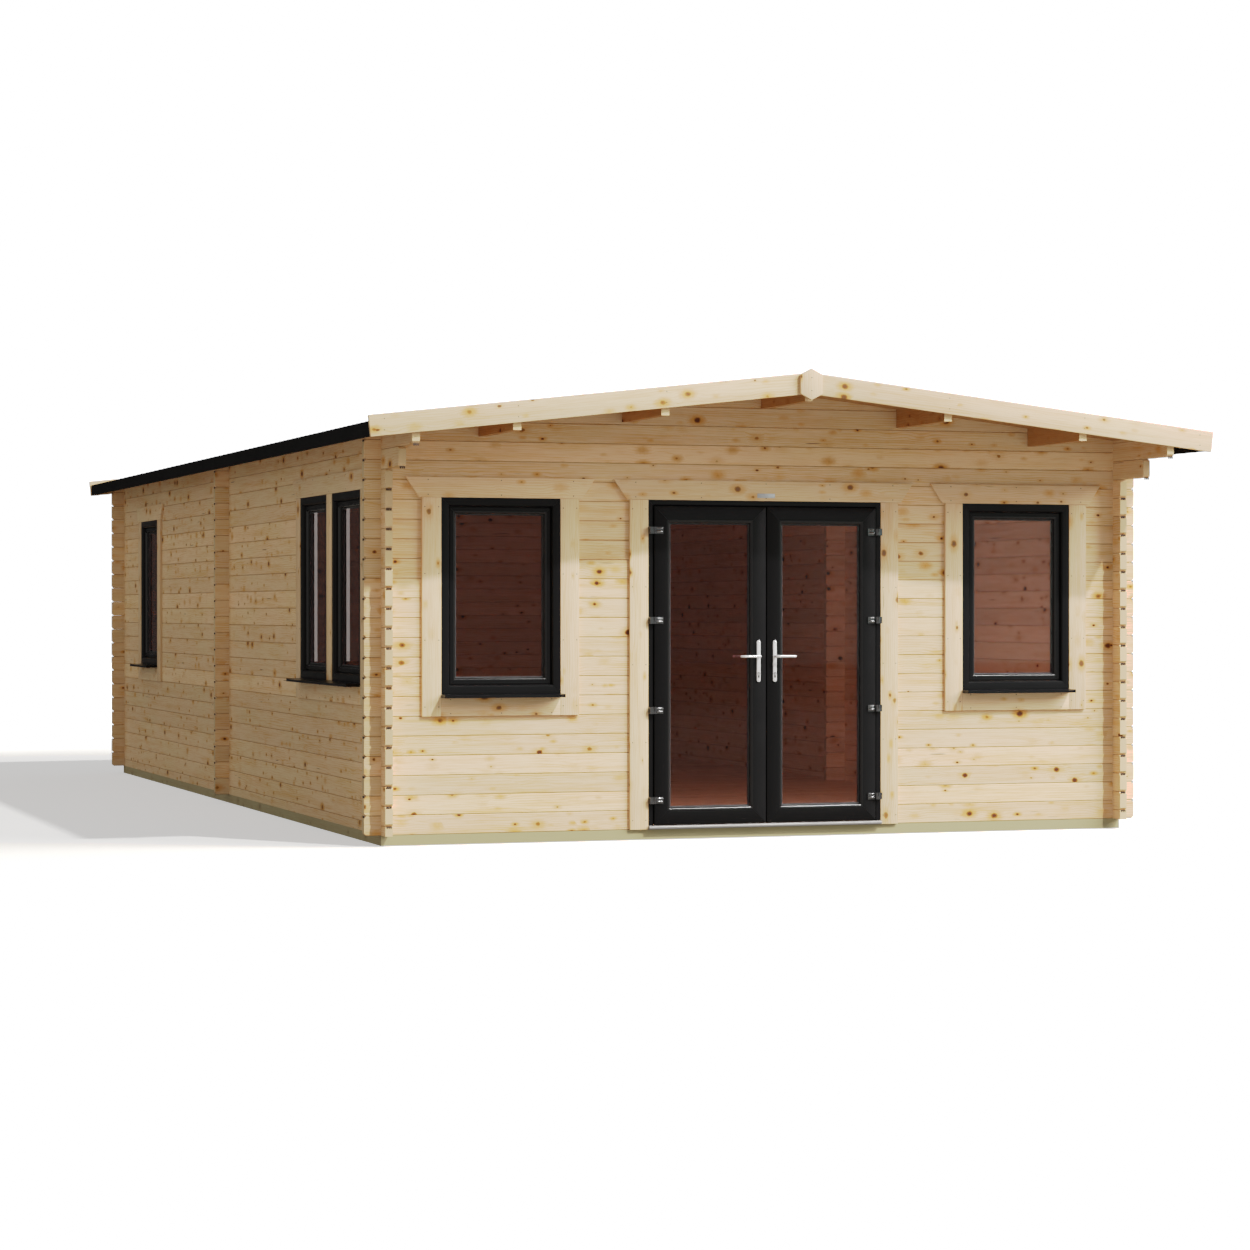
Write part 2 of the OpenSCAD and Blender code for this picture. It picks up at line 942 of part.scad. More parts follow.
// A back plate with round ends and the bore for the lever's neck, from y = 0 to plate_t
module back_plate() {
    r = plate_w / 2;
    low = plate_above - plate_h;
    translate([0, plate_t, 0])
        rotate([90, 0, 0])
            linear_extrude(plate_t)
                difference() {
                    union() {
                        translate([-r, low + r])
                            square([plate_w, plate_h - plate_w]);
                        translate([0, low + r])
                            circle(r, $fn = 48);
                        translate([0, plate_above - r])
                            circle(r, $fn = 48);
                    }
                    circle(neck_r + turn_play, $fn = 48);
                }
}

module handle_plates_left() {
    color(chrome)
        for (y = [leaf_y - plate_t, leaf_y + leaf_t])
            translate([-plate_x, y, lever_z])
                back_plate();
}

module handle_plates_right() {
    mirror([1, 0, 0])
        handle_plates_left();
}

// The spindle with a lever at each end, which turns as one piece
module handle_lever_left() {
    outer_y = leaf_y - plate_t - neck_l;
    inner_y = leaf_y + leaf_t + plate_t + neck_l;
    // The necks end just past the levers' far sides
    past = grip_r + fit;
    color(chrome)
        translate([-plate_x, 0, lever_z])
            union() {
                translate([0, outer_y, 0])
                    rotate([-90, 0, 0])
                        cylinder(r = spindle_r, h = inner_y - outer_y, $fn = 32);
                translate([0, outer_y - past, 0])
                    rotate([-90, 0, 0])
                        cylinder(r = neck_r, h = neck_l + plate_t + past, $fn = 48);
                translate([0, inner_y - neck_l - plate_t, 0])
                    rotate([-90, 0, 0])
                        cylinder(r = neck_r, h = neck_l + plate_t + past, $fn = 48);
                for (y = [outer_y, inner_y])
                    translate([0, y, 0])
                        rotate([0, -90, 0])
                            cylinder(r = grip_r, h = lever_l, $fn = 48);
            }
}

module handle_lever_right() {
    mirror([1, 0, 0])
        handle_lever_left();
}

base_bearers();
floor_boards();
front_wall_left();
front_wall_right();
front_gable();
back_wall();
left_wall_front();
left_wall_back();
right_wall_front();
right_wall_back();
mid_stub_left();
mid_stub_right();
ridge_purlin();
side_purlins();
roof_boards_left();
roof_boards_right();
roof_felt_left();
roof_felt_right();
eave_fascias();
barge_boards_front();
barge_boards_back();
apex_blocks();
window_frames_front();
window_frames_side();
window_sashes_front();
window_sashes_side();
window_glass_front();
window_glass_side();
window_cills();
window_trims_front();
window_trims_side();
door_frame();
door_trims();
door_threshold();
frame_hinges();
door_leaf_left();
door_leaf_right();
door_glass_left();
door_glass_right();
leaf_hinges_left();
leaf_hinges_right();
handle_plates_left();
handle_plates_right();
handle_lever_left();
handle_lever_right();
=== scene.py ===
"""The finish of a log cabin: timber, roof, windows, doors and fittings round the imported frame."""

import math
import random

import bmesh
import bpy
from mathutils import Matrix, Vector


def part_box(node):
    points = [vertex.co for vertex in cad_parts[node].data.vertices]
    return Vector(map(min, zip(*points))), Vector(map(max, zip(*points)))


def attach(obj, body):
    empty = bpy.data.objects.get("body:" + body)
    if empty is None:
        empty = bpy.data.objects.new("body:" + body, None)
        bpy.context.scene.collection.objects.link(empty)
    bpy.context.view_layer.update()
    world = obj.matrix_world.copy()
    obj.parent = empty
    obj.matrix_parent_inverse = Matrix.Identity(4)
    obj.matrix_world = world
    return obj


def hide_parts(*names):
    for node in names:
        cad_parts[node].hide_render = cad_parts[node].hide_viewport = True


bl_info = {
    "name": "Log cabin",
    "version": (1, 0, 0),
    "blender": (4, 5, 0),
    "location": "View3D > Sidebar > Cabin",
    "description": "Timber, roof, window, door and fitting pieces of a log cabin",
    "category": "Object",
}

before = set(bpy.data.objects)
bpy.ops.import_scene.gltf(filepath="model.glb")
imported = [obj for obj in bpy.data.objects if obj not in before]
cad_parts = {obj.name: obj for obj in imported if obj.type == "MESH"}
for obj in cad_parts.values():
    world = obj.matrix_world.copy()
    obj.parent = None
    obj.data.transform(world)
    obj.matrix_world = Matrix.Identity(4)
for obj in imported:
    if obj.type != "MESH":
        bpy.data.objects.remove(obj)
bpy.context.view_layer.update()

BODY = "cabin"
SIDES = {"left": -1, "right": 1}
GAP = 0.0003  # between neighbouring boards, panes and beads
NEAR = 0.001  # two measures of the frame that differ by less are the same


# ---------------------------------------------------------------- sizes and colours


def length(name, description, default):
    """A size in metres"""
    return bpy.props.FloatProperty(name=name, description=description, default=default, min=0.0,
                                   precision=4, unit="LENGTH")


def colour(name, description, default):
    """A colour, as linear red, green and blue"""
    return bpy.props.FloatVectorProperty(name=name, description=description, default=default,
                                         size=3, min=0.0, max=1.0, subtype="COLOR")


def number(name, description, default):
    """A plain number"""
    return bpy.props.FloatProperty(name=name, description=description, default=default)


class TimberSizes(bpy.types.PropertyGroup):
    """Colours of the timber, and the sizes of its small details"""

    pine: colour("Pine", "Main colour of the planed pine", (0.83, 0.596, 0.345))
    grain: colour("Grain", "Colour of the darker grain lines", (0.68, 0.375, 0.13))
    pale: colour("Pale pine", "Main colour of the trim boards", (0.82, 0.60, 0.35))
    pale_grain: colour("Pale grain", "Grain of the trim boards", (0.69, 0.42, 0.19))
    glow: colour("Resin", "Colour of the wood round a knot", (0.60, 0.25, 0.035))
    # Painted shade: multiplies the roof timbers' sides, as the shade under the roof darkens them
    deep: colour("Painted shade tone", "What the roof timbers' sides are darkened by", (0.52, 0.35, 0.21))
    knot: colour("Knot", "Colour of a knot", (0.085, 0.020, 0.004))
    treated: colour("Treated", "Colour of the treated bearers", (0.33, 0.345, 0.215))
    course: length("Course", "Height of a log", 0.114)
    board_edge: length("Board edge", "Rounding of the trim boards' edges", 0.003)
    joint_shade_width: length("Joint shade width", "Width of the tongues' mark on a log's end", 0.034)
    # Width of the painted shade in the V-groove between two logs on their free ends
    nail_radius: length("Nail radius", "Radius of a nail's head", 0.0032)
    nail_pitch: length("Nail pitch", "Distance between nails along a board", 0.475)
    nail_inset: length("Nail inset", "Distance from a nail to the board's edge", 0.016)


class RoofSizes(bpy.types.PropertyGroup):
    """Sizes and colours of the roof and floor"""

    board: length("Roof board", "Width of a roof board", 0.0957)
    groove: length("Groove", "Width of the V between two boards", 0.006)
    floor_board: length("Floor board", "Width of a floor board", 0.096)
    sheet: length("Felt sheet", "Width of a sheet of felt", 0.90)
    lap: length("Lap", "How far a sheet of felt laps over the one below", 0.075)
    clout: length("Clout radius", "Radius of a felt nail's head", 0.006)
    clout_pitch: length("Clout pitch", "Distance between felt nails", 0.15)
    felt: colour("Felt", "Colour of the felt", (0.0055, 0.0055, 0.0058))


class WindowSizes(bpy.types.PropertyGroup):
    """Sizes and colours of the plastic frames, glass and cills"""

    plastic: colour("Frame", "Colour of the frames", (0.0042, 0.0042, 0.0045))
    rubber: colour("Gasket", "Colour of the rubber gaskets", (0.004, 0.004, 0.004))
    tint: colour("Glass", "Tint of the glass", (0.69, 0.52, 0.52))
    pane: length("Pane", "Thickness of a pane", 0.004)
    spacer: length("Spacer", "Height of the bar between two panes", 0.007)
    bevel: length("Bevel", "Width of the bevel on a frame's inner edge", 0.011)
    bead: length("Bead", "Width of the glazing bead", 0.016)
    gasket: length("Gasket", "Width of a gasket", 0.004)
    mitre: length("Mitre", "Width of the seam at a mitre", 0.0006)


class DoorSizes(bpy.types.PropertyGroup):
    """Sizes and colours of the doors' fittings"""

    steel: colour("Steel", "Colour of the polished handles", (0.94, 0.94, 0.95))
    hinge: colour("Hinge", "Colour of the hinges", (0.10, 0.10, 0.105))
    back_plate: length("Back plate", "Width of the handles' back plates", 0.023)
    rib: colour("Hinge rib", "Colour of the bright ribs on the hinges", (0.22, 0.22, 0.225))
    sill: colour("Threshold", "Colour of the threshold", (0.20, 0.19, 0.18))
    key_drop: length("Key drop", "Distance from a lever down to its keyhole", 0.103)
    screw: length("Screw", "Radius of a screw's head", 0.0035)
    plaque_width: length("Plaque width", "Width of the plain plaque over the doors", 0.112)
    plaque_height: length("Plaque height", "Height of that plaque", 0.026)


class StageSizes(bpy.types.PropertyGroup):
    """Camera and light"""

    lens: number("Lens", "Focal length in millimetres", 90.72)
    sun: number("Sun", "Strength of the sun", 4.5)
    fill: number("Fill", "Power of the wide soft light from the right", 13000.0)
    sky: number("Sky", "Strength of the sky's light", 0.47)
    room: number("Room", "Power of the light inside", 32.0)
    bounce: number("Bounce", "Share of the light that the floor throws back", 0.26)
    glow: number("Glow", "Light added to the floor as seen", 0.52)


GROUPS = {"cabin_timber": TimberSizes, "cabin_roof": RoofSizes, "cabin_windows": WindowSizes,
          "cabin_doors": DoorSizes, "cabin_stage": StageSizes}


# ---------------------------------------------------------------- the frame's places


def solid_boxes(node):
    """The lowest and highest corners of each separate solid of a CAD node, sorted by place"""
    mesh = bmesh.new()
    mesh.from_mesh(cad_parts[node].data)
    bmesh.ops.remove_doubles(mesh, verts=mesh.verts, dist=1e-5)
    left, boxes = set(mesh.verts), []
    while left:
        found = [left.pop()]
        for vert in found:
            for edge in vert.link_edges:
                other = edge.other_vert(vert)
                if other in left:
                    left.remove(other)
                    found.append(other)
        boxes.append(tuple(Vector(pick(v.co[i] for v in found) for i in range(3))
                           for pick in (min, max)))
    mesh.free()
    return sorted(boxes, key=lambda box: [round(c, 3) for c in box[0]])


def heights(node, x, near=NEAR):
    """The lowest and highest points of a CAD sheet at a distance across"""
    found = [v.co.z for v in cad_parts[node].data.vertices if abs(v.co.x - x) < near]
    return min(found), max(found)


def roof_line(node, way, upper):
    """A roof sheet's reach, and its upper or under face's height at the ridge and fall a metre"""
    low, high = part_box(node)
    reach = abs((low, high)[way > 0].x)
    top = heights(node, 0.0, 10 * NEAR)[upper]
    return reach, top, (top - heights(node, way * reach)[upper]) / reach


def barge_outline(node, way):
    """The four corners of one barge board in the XZ plane, from the ridge round to its foot"""
    points = {(round(v.co.x, 4), round(v.co.z, 4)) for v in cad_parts[node].data.vertices
              if v.co.x * way > 0}
    inner = sorted((p for p in points if abs(p[0]) < 10 * NEAR), key=lambda p: p[1])
    outer = sorted((p for p in points if abs(p[0]) > 10 * NEAR), key=lambda p: p[1])
    return [inner[0], inner[-1], outer[-1], outer[0]]


WALL_FRONT = solid_boxes("front_wall_left")[0][0].y
WALL_LEFT = solid_boxes("base_bearers")[0][0].x


def front(across, depth, up):
    """A point on the front wall: across to the right, depth into the wall from its face, and up"""
    return Vector((across, WALL_FRONT + depth, up))


def side(across, depth, up):
    """A point on the left wall, seen from outside: across runs from the front to the back"""
    return Vector((WALL_LEFT + depth, across, up))


# Each wall's place function, the axis that runs across it and its face
WALLS = {"front": (front, 0, WALL_FRONT), "side": (side, 1, WALL_LEFT)}


# ---------------------------------------------------------------- meshes


def loft(mesh, rings):
    """A closed solid through rings of as many points each, with a flat cap at both ends"""
    rings = [[mesh.verts.new(point) for point in ring] for ring in rings]
    faces = [mesh.faces.new(rings[0]), mesh.faces.new(rings[-1])]
    for lower, upper in zip(rings, rings[1:]):
        for k in range(len(lower)):
            j = (k + 1) % len(lower)
            faces.append(mesh.faces.new((lower[k], lower[j], upper[j], upper[k])))
    bmesh.ops.recalc_face_normals(mesh, faces=faces)
    return faces


def slab(mesh, axis, outline, ends):
    """A closed solid that runs along an axis between two ends, with one outline across it"""
    return loft(mesh, [[(*pair[:axis], end, *pair[axis:]) for pair in outline] for end in ends])


def soften(mesh, faces, edge, segments=2):
    """Rounds all edges of some faces"""
    if edge:
        edges = list({e for face in faces for e in face.edges})
        bmesh.ops.bevel(mesh, geom=edges, offset=edge, segments=segments, profile=0.6,
                        affect="EDGES", clamp_overlap=True)


def rectangle(low_across, low_up, high_across, high_up):
    """Corners of a rectangle, counter-clockwise"""
    return [(low_across, low_up), (high_across, low_up), (high_across, high_up),
            (low_across, high_up)]


def block(mesh, low, high, edge=0.0, segments=2):
    """A box between two corners, with its edges rounded"""
    faces = slab(mesh, 2, rectangle(low[0], low[1], high[0], high[1]), (low[2], high[2]))
    soften(mesh, faces, edge, segments)


def bars(mesh, path, profile, place, seam=0.0, closed=True):
    """Mitred bars along a path of (across, up) corners, one closed solid for each straight.

    The profile is a closed outline of (inset, depth), with the inset to the left of the path."""
    count = len(path)
    corners = [Vector(point) for point in path]
    runs = [(corners[(i + 1) % count] - corners[i]).normalized() for i in range(count)]
    inwards = [Vector((-run.y, run.x)) for run in runs]
    for i in range(count if closed else count - 1):
        after = (i + 1) % count
        ends = []
        for corner, other, shift in ((i, i - 1, seam), (after, after, -seam)):
            turn, base = inwards[i], corners[corner]
            if closed or corner not in (0, count - 1):
                turn = (turn + inwards[other]) / (1 + turn.dot(inwards[other]))
                base = base + shift / 2 * runs[i]
            ends.append([place(base.x + turn.x * inset, depth, base.y + turn.y * inset)
                         for inset, depth in profile])
        loft(mesh, ends)


def full_turn(sides):
    """Angles round a circle"""
    return [2 * math.pi * k / sides for k in range(sides)]


def lathe(mesh, outline, centre, axis, sides=24):
    """A closed turned shape: an outline of (distance along the axis, radius) round that axis"""
    axis = Vector(axis).normalized()
    across = axis.orthogonal().normalized()
    other = axis.cross(across)
    loft(mesh, [[Vector(centre) + axis * along
                 + radius * (math.cos(a) * across + math.sin(a) * other)
                 for a in full_turn(sides)] for along, radius in outline])


def tube(mesh, points, radii, flat, sides):
    """A closed tube along a path, with a radius at each point, its section flattened across Z"""
    upright = Vector((0, 0, 1))
    rings = []
    for i, point in enumerate(points):
        run = (points[min(i + 1, len(points) - 1)] - points[max(i - 1, 0)]).normalized()
        across = run.cross(upright).normalized()
        rings.append([point + radii[i] * (flat * math.cos(a) * across + math.sin(a) * upright)
                      for a in full_turn(sides)])
    loft(mesh, rings)


def new_object(name, data):
    """A new object in the scene, from its data or from a bmesh"""
    if isinstance(data, bmesh.types.BMesh):
        shape, data = data, bpy.data.meshes.new(name)
        shape.to_mesh(data)
        shape.free()
    thing = bpy.data.objects.new(name, data)
    bpy.context.scene.collection.objects.link(thing)
    return thing


def piece(name, mesh, material, node=None, body=BODY, smooth=30):
    """Turns a bmesh, or a finished mesh, into a piece of the object that rides on a body, takes
    its material and stands for a CAD node"""
    thing = new_object(name, mesh)
    data = thing.data
    data.name = name
    if material is not None:
        data.materials.clear()
        data.materials.append(material)
    if smooth:
        data.shade_smooth()
        data.set_sharp_from_angle(angle=math.radians(smooth))
    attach(thing, body)
    if node:
        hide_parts(node)
    return thing


def paint(material, *nodes):
    """Gives CAD nodes a material"""
    for node in nodes:
        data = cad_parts[node].data
        data.materials.clear()
        data.materials.append(material)


class Boards:
    """Boards joined in one mesh. The attribute board_grain holds each point's place along its
    board, through it and across it, moved apart from board to board."""

    def __init__(self, seed):
        self.mesh = bmesh.new()
        self.mesh.verts.layers.float_vector.new("board_grain")
        self.random = random.Random(seed)

    def add(self, outline, thickness, along, edge):
        """A board from its outline, a list of points, thickened along a vector"""
        single = bmesh.new()
        layer = single.verts.layers.float_vector.new("board_grain")
        thick = Vector(thickness)
        faces = loft(single, [outline, [point + thick for point in outline]])
        soften(single, faces, edge)
        along = Vector(along).normalized()
        through = thick.normalized()
        across = along.cross(through)
        start = outline[0]
        shift = Vector((self.random.uniform(0, 90), self.random.uniform(0, 9),
                        self.random.uniform(0, 90)))
        for vert in single.verts:
            place = vert.co - start
            vert[layer] = Vector((place.dot(along), place.dot(through), place.dot(across))) + shift
        data = bpy.data.meshes.new("board")
        single.to_mesh(data)
        single.free()
        self.mesh.from_mesh(data)
        bpy.data.meshes.remove(data)


# ---------------------------------------------------------------- node trees


class Wire:
    """A value on its way through a node tree. Plain arithmetic on it adds Math nodes."""

    def __init__(self, socket):
        self.socket = socket

    def __add__(self, other):
        return calc("ADD", self, other)

    def __sub__(self, other):
        return calc("SUBTRACT", self, other)

    def __rsub__(self, other):
        return calc("SUBTRACT", other, self)

    def __mul__(self, other):
        return calc("MULTIPLY", self, other)

    def __truediv__(self, other):
        return calc("DIVIDE", self, other)


def feed(node, inputs):
    """Links a wire to, or sets a value on, each input named"""
    for key, value in inputs.items():
        if isinstance(value, Wire):
            node.id_data.links.new(value.socket, node.inputs[key])
        else:
            node.inputs[key].default_value = value


def add(tree, kind, inputs=None, **settings):
    """A new node with its settings and inputs, as the wires from its outputs"""
    node = tree.nodes.new(kind)
    for name, value in settings.items():
        setattr(node, name, value)
    feed(node, inputs or {})
    wires = {socket.name: Wire(socket) for socket in reversed(list(node.outputs))}
    return wires | {i: Wire(socket) for i, socket in enumerate(node.outputs)}


def flow(kind, inputs, output=0, **settings):
    """One output of a new node, in the tree of the first wire that feeds it"""
    tree = next(value for value in inputs.values() if isinstance(value, Wire)).socket.id_data
    return add(tree, kind, inputs, **settings)[output]


def calc(operation, first, second=0.0, third=0.0):
    """The result of a Math node"""
    return flow("ShaderNodeMath", {0: first, 1: second, 2: third}, operation=operation)


def vector_calc(operation, first, second=(0, 0, 0), output=0):
    """The result of a Vector Math node"""
    return flow("ShaderNodeVectorMath", {0: first, 1: second}, output, operation=operation)


def stretched(vector, *factors):
    """A vector with each part multiplied"""
    return vector_calc("MULTIPLY", vector, factors)


def parts(vector):
    """The X, Y and Z of a vector"""
    found = add(vector.socket.id_data, "ShaderNodeSeparateXYZ", {0: vector})
    return [found[i] for i in range(3)]


def ramp(value, low, high, start=0.0, end=1.0):
    """A smooth step from start to end as a value goes from low to high"""
    return flow("ShaderNodeMapRange", {"Value": value, "From Min": low, "From Max": high,
                                       "To Min": start, "To Max": end},
                interpolation_type="SMOOTHSTEP")


def mix(factor, first, second, blend="MIX"):
    """The result of a colour Mix node"""
    return flow("ShaderNodeMix", {0: factor, 6: first, 7: second}, 2, data_type="RGBA",
                blend_type=blend)


def noise(vector, scale=1.0, detail=2.0, roughness=0.5):
    """The value of a Noise texture"""
    return flow("ShaderNodeTexNoise", {"Vector": vector, "Scale": scale, "Detail": detail,
                                       "Roughness": roughness}, "Fac")


def rgba(value):
    """A colour with its alpha"""
    return (*value, 1.0)


def coordinates(tree, kind="Object"):
    """A surface's own coordinates"""
    return add(tree, "ShaderNodeTexCoord")[kind]


def new_tree(kind, name, inputs, outputs):
    """A new node tree, the wires from its inputs and its output node. An input is its name,
    its socket's kind and, where it has one, its default."""
    tree = bpy.data.node_groups.new(name, kind)
    for socket, sort, *default in inputs:
        made = tree.interface.new_socket(socket, in_out="INPUT", socket_type="NodeSocket" + sort)
        if default:
            made.default_value = default[0]
    for socket, sort in outputs:
        tree.interface.new_socket(socket, in_out="OUTPUT", socket_type="NodeSocket" + sort)
    return tree, add(tree, "NodeGroupInput"), tree.nodes.new("NodeGroupOutput")


def knot_layer(point, cells, small, large, share):
    """Knots in a stretched 3-D pattern: the masks of the whole knot, of the paler rim in it, of
    the resin round it, and of the wood whose grain bends round it"""
    place = stretched(point, *cells)
    knots = add(point.socket.id_data, "ShaderNodeTexVoronoi", {"Vector": place, "Scale": 1.0})
    away = vector_calc("SUBTRACT", place, knots["Position"])
    wobble = noise(point, 55.0)
    near = vector_calc("LENGTH", away, output=1) + (wobble * 0.07 - 0.035)
    chance = parts(knots["Color"])
    there = calc("LESS_THAN", chance[2], share)
    size = calc("MAXIMUM", there * ramp(chance[0], 0.0, 1.0, small, large), 0.001)
    core = ramp(near / size, 0.85, 1.10, 1.0, 0.0)
    rim = ramp(near / size, 0.52, 0.90)
    long = vector_calc("LENGTH", stretched(away, 0.62, 0.9, 0.85), output=1)
    beyond = long + (wobble * 0.09 - 0.045) - size
    resin = ramp(beyond, -0.06, 0.17, 1.0, 0.0) * there * ramp(chance[1], 0.0, 0.9, 0.35, 0.95)
    bend = ramp(beyond, -0.1, 0.40, 1.0, 0.0) * there
    return core, rim, resin, bend


def planed_wood():
    """The shader group of planed wood with its grain along X.

    Rows of boards lie above each other along Z. Each row has grain and knots of its own."""
    name = "Planed wood"
    if name in bpy.data.node_groups:
        return bpy.data.node_groups[name]
    tree, given, out = new_tree(
        "ShaderNodeTree", name,
        (("Vector", "Vector"), ("Normal", "Vector"), ("Row height", "Float", 0.114),
         ("Row start", "Float", 0.0), ("Seed", "Float", 0.0), ("Knots", "Float", 1.0),
         ("Wood", "Color", (0.8, 0.6, 0.4, 1)), ("Grain", "Color", (0.6, 0.4, 0.2, 1)),
         ("Resin", "Color", (0.6, 0.3, 0.1, 1)), ("Knot", "Color", (0.2, 0.1, 0.0, 1))),
        (("Color", "Color"), ("Roughness", "Float"), ("Height", "Float")))
    _, depth, up = parts(given["Vector"])
    rows_up = (up - given["Row start"]) / given["Row height"]
    row = calc("FLOOR", rows_up)
    chance = add(tree, "ShaderNodeTexWhiteNoise",
                 {"W": calc("MULTIPLY_ADD", given["Seed"], 17.3, row)}, noise_dimensions="1D")
    point = vector_calc("ADD", given["Vector"], stretched(chance["Color"], 61.0, 23.0, 41.0))

    core, rim, resin, bend = knot_layer(point, (6.8, 8.8, 8.8), 0.06, 0.17, 0.74)
    pin_core, pin_rim, pin_resin, _ = knot_layer(point, (10.0, 15.0, 15.0), 0.06, 0.13, 0.50)
    core = calc("MAXIMUM", core, pin_core) * given["Knots"]
    rim = calc("MINIMUM", rim, pin_rim)
    resin = calc("MAXIMUM", resin, pin_resin) * given["Knots"]

    # Grain: broad bands, year lines that part round the knots, and fine fibres
    drift = noise(stretched(point, 0.9, 9.0, 9.0))
    _, through, across = parts(point)
    phase = bend * 1.1 + drift * 3.4 + (across + through) * 70.0
    lines = calc("POWER", calc("PINGPONG", phase, 0.5) * 2.0, 4.0)
    bands = noise(stretched(point, 1.3, 26.0, 26.0), 1.0, 3.0, 0.6)
    fibres = noise(stretched(point, 7.0, 240.0, 240.0), 1.0, 3.0, 0.65)
    tone = (lines * ramp(noise(point, 1.7), 0.36, 0.66, 0.16, 0.74)
            + ramp(bands, 0.38, 0.78, 0.0, 0.58) + ramp(fibres, 0.36, 0.70, -0.16, 0.34)
            + bend * 0.10)

    # End grain on the faces that look along the grain: arcs round a pith below the board
    end = ramp(calc("ABSOLUTE", parts(given["Normal"])[0]), 0.75, 0.95)
    plain = 1.0 - end
    rise = up - (row * given["Row height"] + given["Row start"]) + 0.03
    drawn = calc("MODULO", calc("ABSOLUTE", depth), 0.3) - 0.1
    arcs = calc("SQRT", rise * rise + drawn * drawn)
    arcs = calc("PINGPONG", arcs * 260.0 + noise(point, 18.0) * 1.8, 0.5)
    tone = mix(end, calc("MAXIMUM", tone, 0.0), arcs * 0.8 + 0.12)

    # The colour: each row a little lighter or darker, with a slow change of cast
    shown = mix(tone, given["Wood"], given["Grain"])
    cast = noise(stretched(point, 1.0, 3.0, 3.0), 1.1)
    tint = mix(ramp(cast, 0.35, 0.7), (1.02, 0.98, 0.98, 1), (0.99, 1.0, 0.96, 1))
    shown = mix(1.0, shown, mix(end, tint, (0.80, 0.84, 0.83, 1)), "MULTIPLY")
    shown = flow("ShaderNodeVectorMath",
                 {0: shown, "Scale": ramp(chance["Value"], 0.0, 1.0, 0.90, 1.08)},
                 operation="SCALE")
    shown = mix(resin * plain, shown, given["Resin"])
    shown = mix(core * plain, shown, mix(rim * 0.50, given["Knot"], given["Resin"]))

    # A darker line where two boards meet
    inside_row = given["Row height"] * calc("FRACT", rows_up)
    edge = calc("MINIMUM", inside_row, given["Row height"] - inside_row)
    seam = ramp(edge, 0.0010, 0.0032, 0.8, 0.0) * plain
    shown = mix(seam, shown, mix(0.45, given["Grain"], given["Knot"]))

    # Short dark checks that follow the grain
    split = ramp(noise(stretched(point, 3.0, 60.0, 90.0), 1.0, 1.0), 0.765, 0.80, 0.0, 0.9)
    shown = mix(split * plain, shown, given["Knot"])

    feed(out, {"Color": shown, "Roughness": fibres * 0.16 + 0.50,
               "Height": lines * 0.35 + fibres - core * 0.6})
    return tree


def surface_wear():
    """The shader group of slow changes over a surface: a mask of smears and a fine height"""
    name = "Surface wear"
    if name in bpy.data.node_groups:
        return bpy.data.node_groups[name]
    tree, given, out = new_tree(
        "ShaderNodeTree", name,
        (("Vector", "Vector"), ("Broad", "Float", 4.0), ("Fine", "Float", 400.0)),
        (("Mask", "Float"), ("Height", "Float")))
    feed(out, {"Mask": ramp(noise(given["Vector"], given["Broad"], 4.0, 0.6), 0.35, 0.70),
               "Height": noise(given["Vector"], given["Fine"], 3.0, 0.6)})
    return tree


def material(name, **shader):
    """A new material, its tree and its Principled shader with plain values set"""
    made = bpy.data.materials.new(name)
    made.use_nodes = True
    principled = made.node_tree.nodes["Principled BSDF"]
    feed(principled, {key.replace("_", " "): value for key, value in shader.items()})
    return made, made.node_tree, principled


def bump(principled, height, distance, strength):
    """A Bump node on a Principled shader's normal"""
    feed(principled, {"Normal": flow("ShaderNodeBump", {"Height": height, "Distance": distance,
                                                        "Strength": strength})})


def turned(vector, order):
    """A vector with its parts in another order, such as YXZ"""
    found = parts(vector)
    return flow("ShaderNodeCombineXYZ", {i: found["XYZ".index(axis)]
                                         for i, axis in enumerate(order)})


def wood(name, order="XYZ", row=100.0, start=-50.0, seed=0.0, knots=1.0, pale=False,
         treated=False, deep=False):
    """A wood material. The order says which axes run along, through and across the boards,
    or is None where the boards carry their own grain attribute. Deep wood gets painted shade:
    its sides are darkened as by the shade under the roof, its ends are not."""
    if name in bpy.data.materials:
        return bpy.data.materials[name]
    sizes = bpy.context.scene.cabin_timber
    made, tree, principled = material(name, IOR=1.45, Specular_IOR_Level=0.22)
    if order is None:
        vector = add(tree, "ShaderNodeAttribute", attribute_name="board_grain")["Vector"]
        normal = (0.0, 0.0, 1.0)
    else:
        vector = turned(coordinates(tree), order)
        normal = turned(coordinates(tree, "Normal"), order)
    group = add(tree, "ShaderNodeGroup",
                {"Vector": vector, "Normal": normal, "Row height": row, "Row start": start,
                 "Seed": seed, "Knots": knots,
                 "Wood": rgba(sizes.pale if pale else sizes.pine),
                 "Grain": rgba(sizes.pale_grain if pale else sizes.grain),
                 "Resin": rgba(sizes.glow), "Knot": rgba(sizes.knot)}, node_tree=planed_wood())
    shown = group["Color"]
    if treated:
        shown = mix(0.86, shown, mix(0.45, rgba(sizes.treated), shown, "MULTIPLY"))
    # Painted shade on the faces across the grain, as under the roof; the ends keep their tone
    if deep:
        sides = ramp(calc("ABSOLUTE", parts(normal)[0]), 0.75, 0.95, 1.0, 0.0)
        shown = mix(sides, shown, rgba(sizes.deep), "MULTIPLY")
    feed(principled, {"Base Color": shown, "Roughness": group["Roughness"]})
    bump(principled, group["Height"], 0.0006, 0.55)
    return made


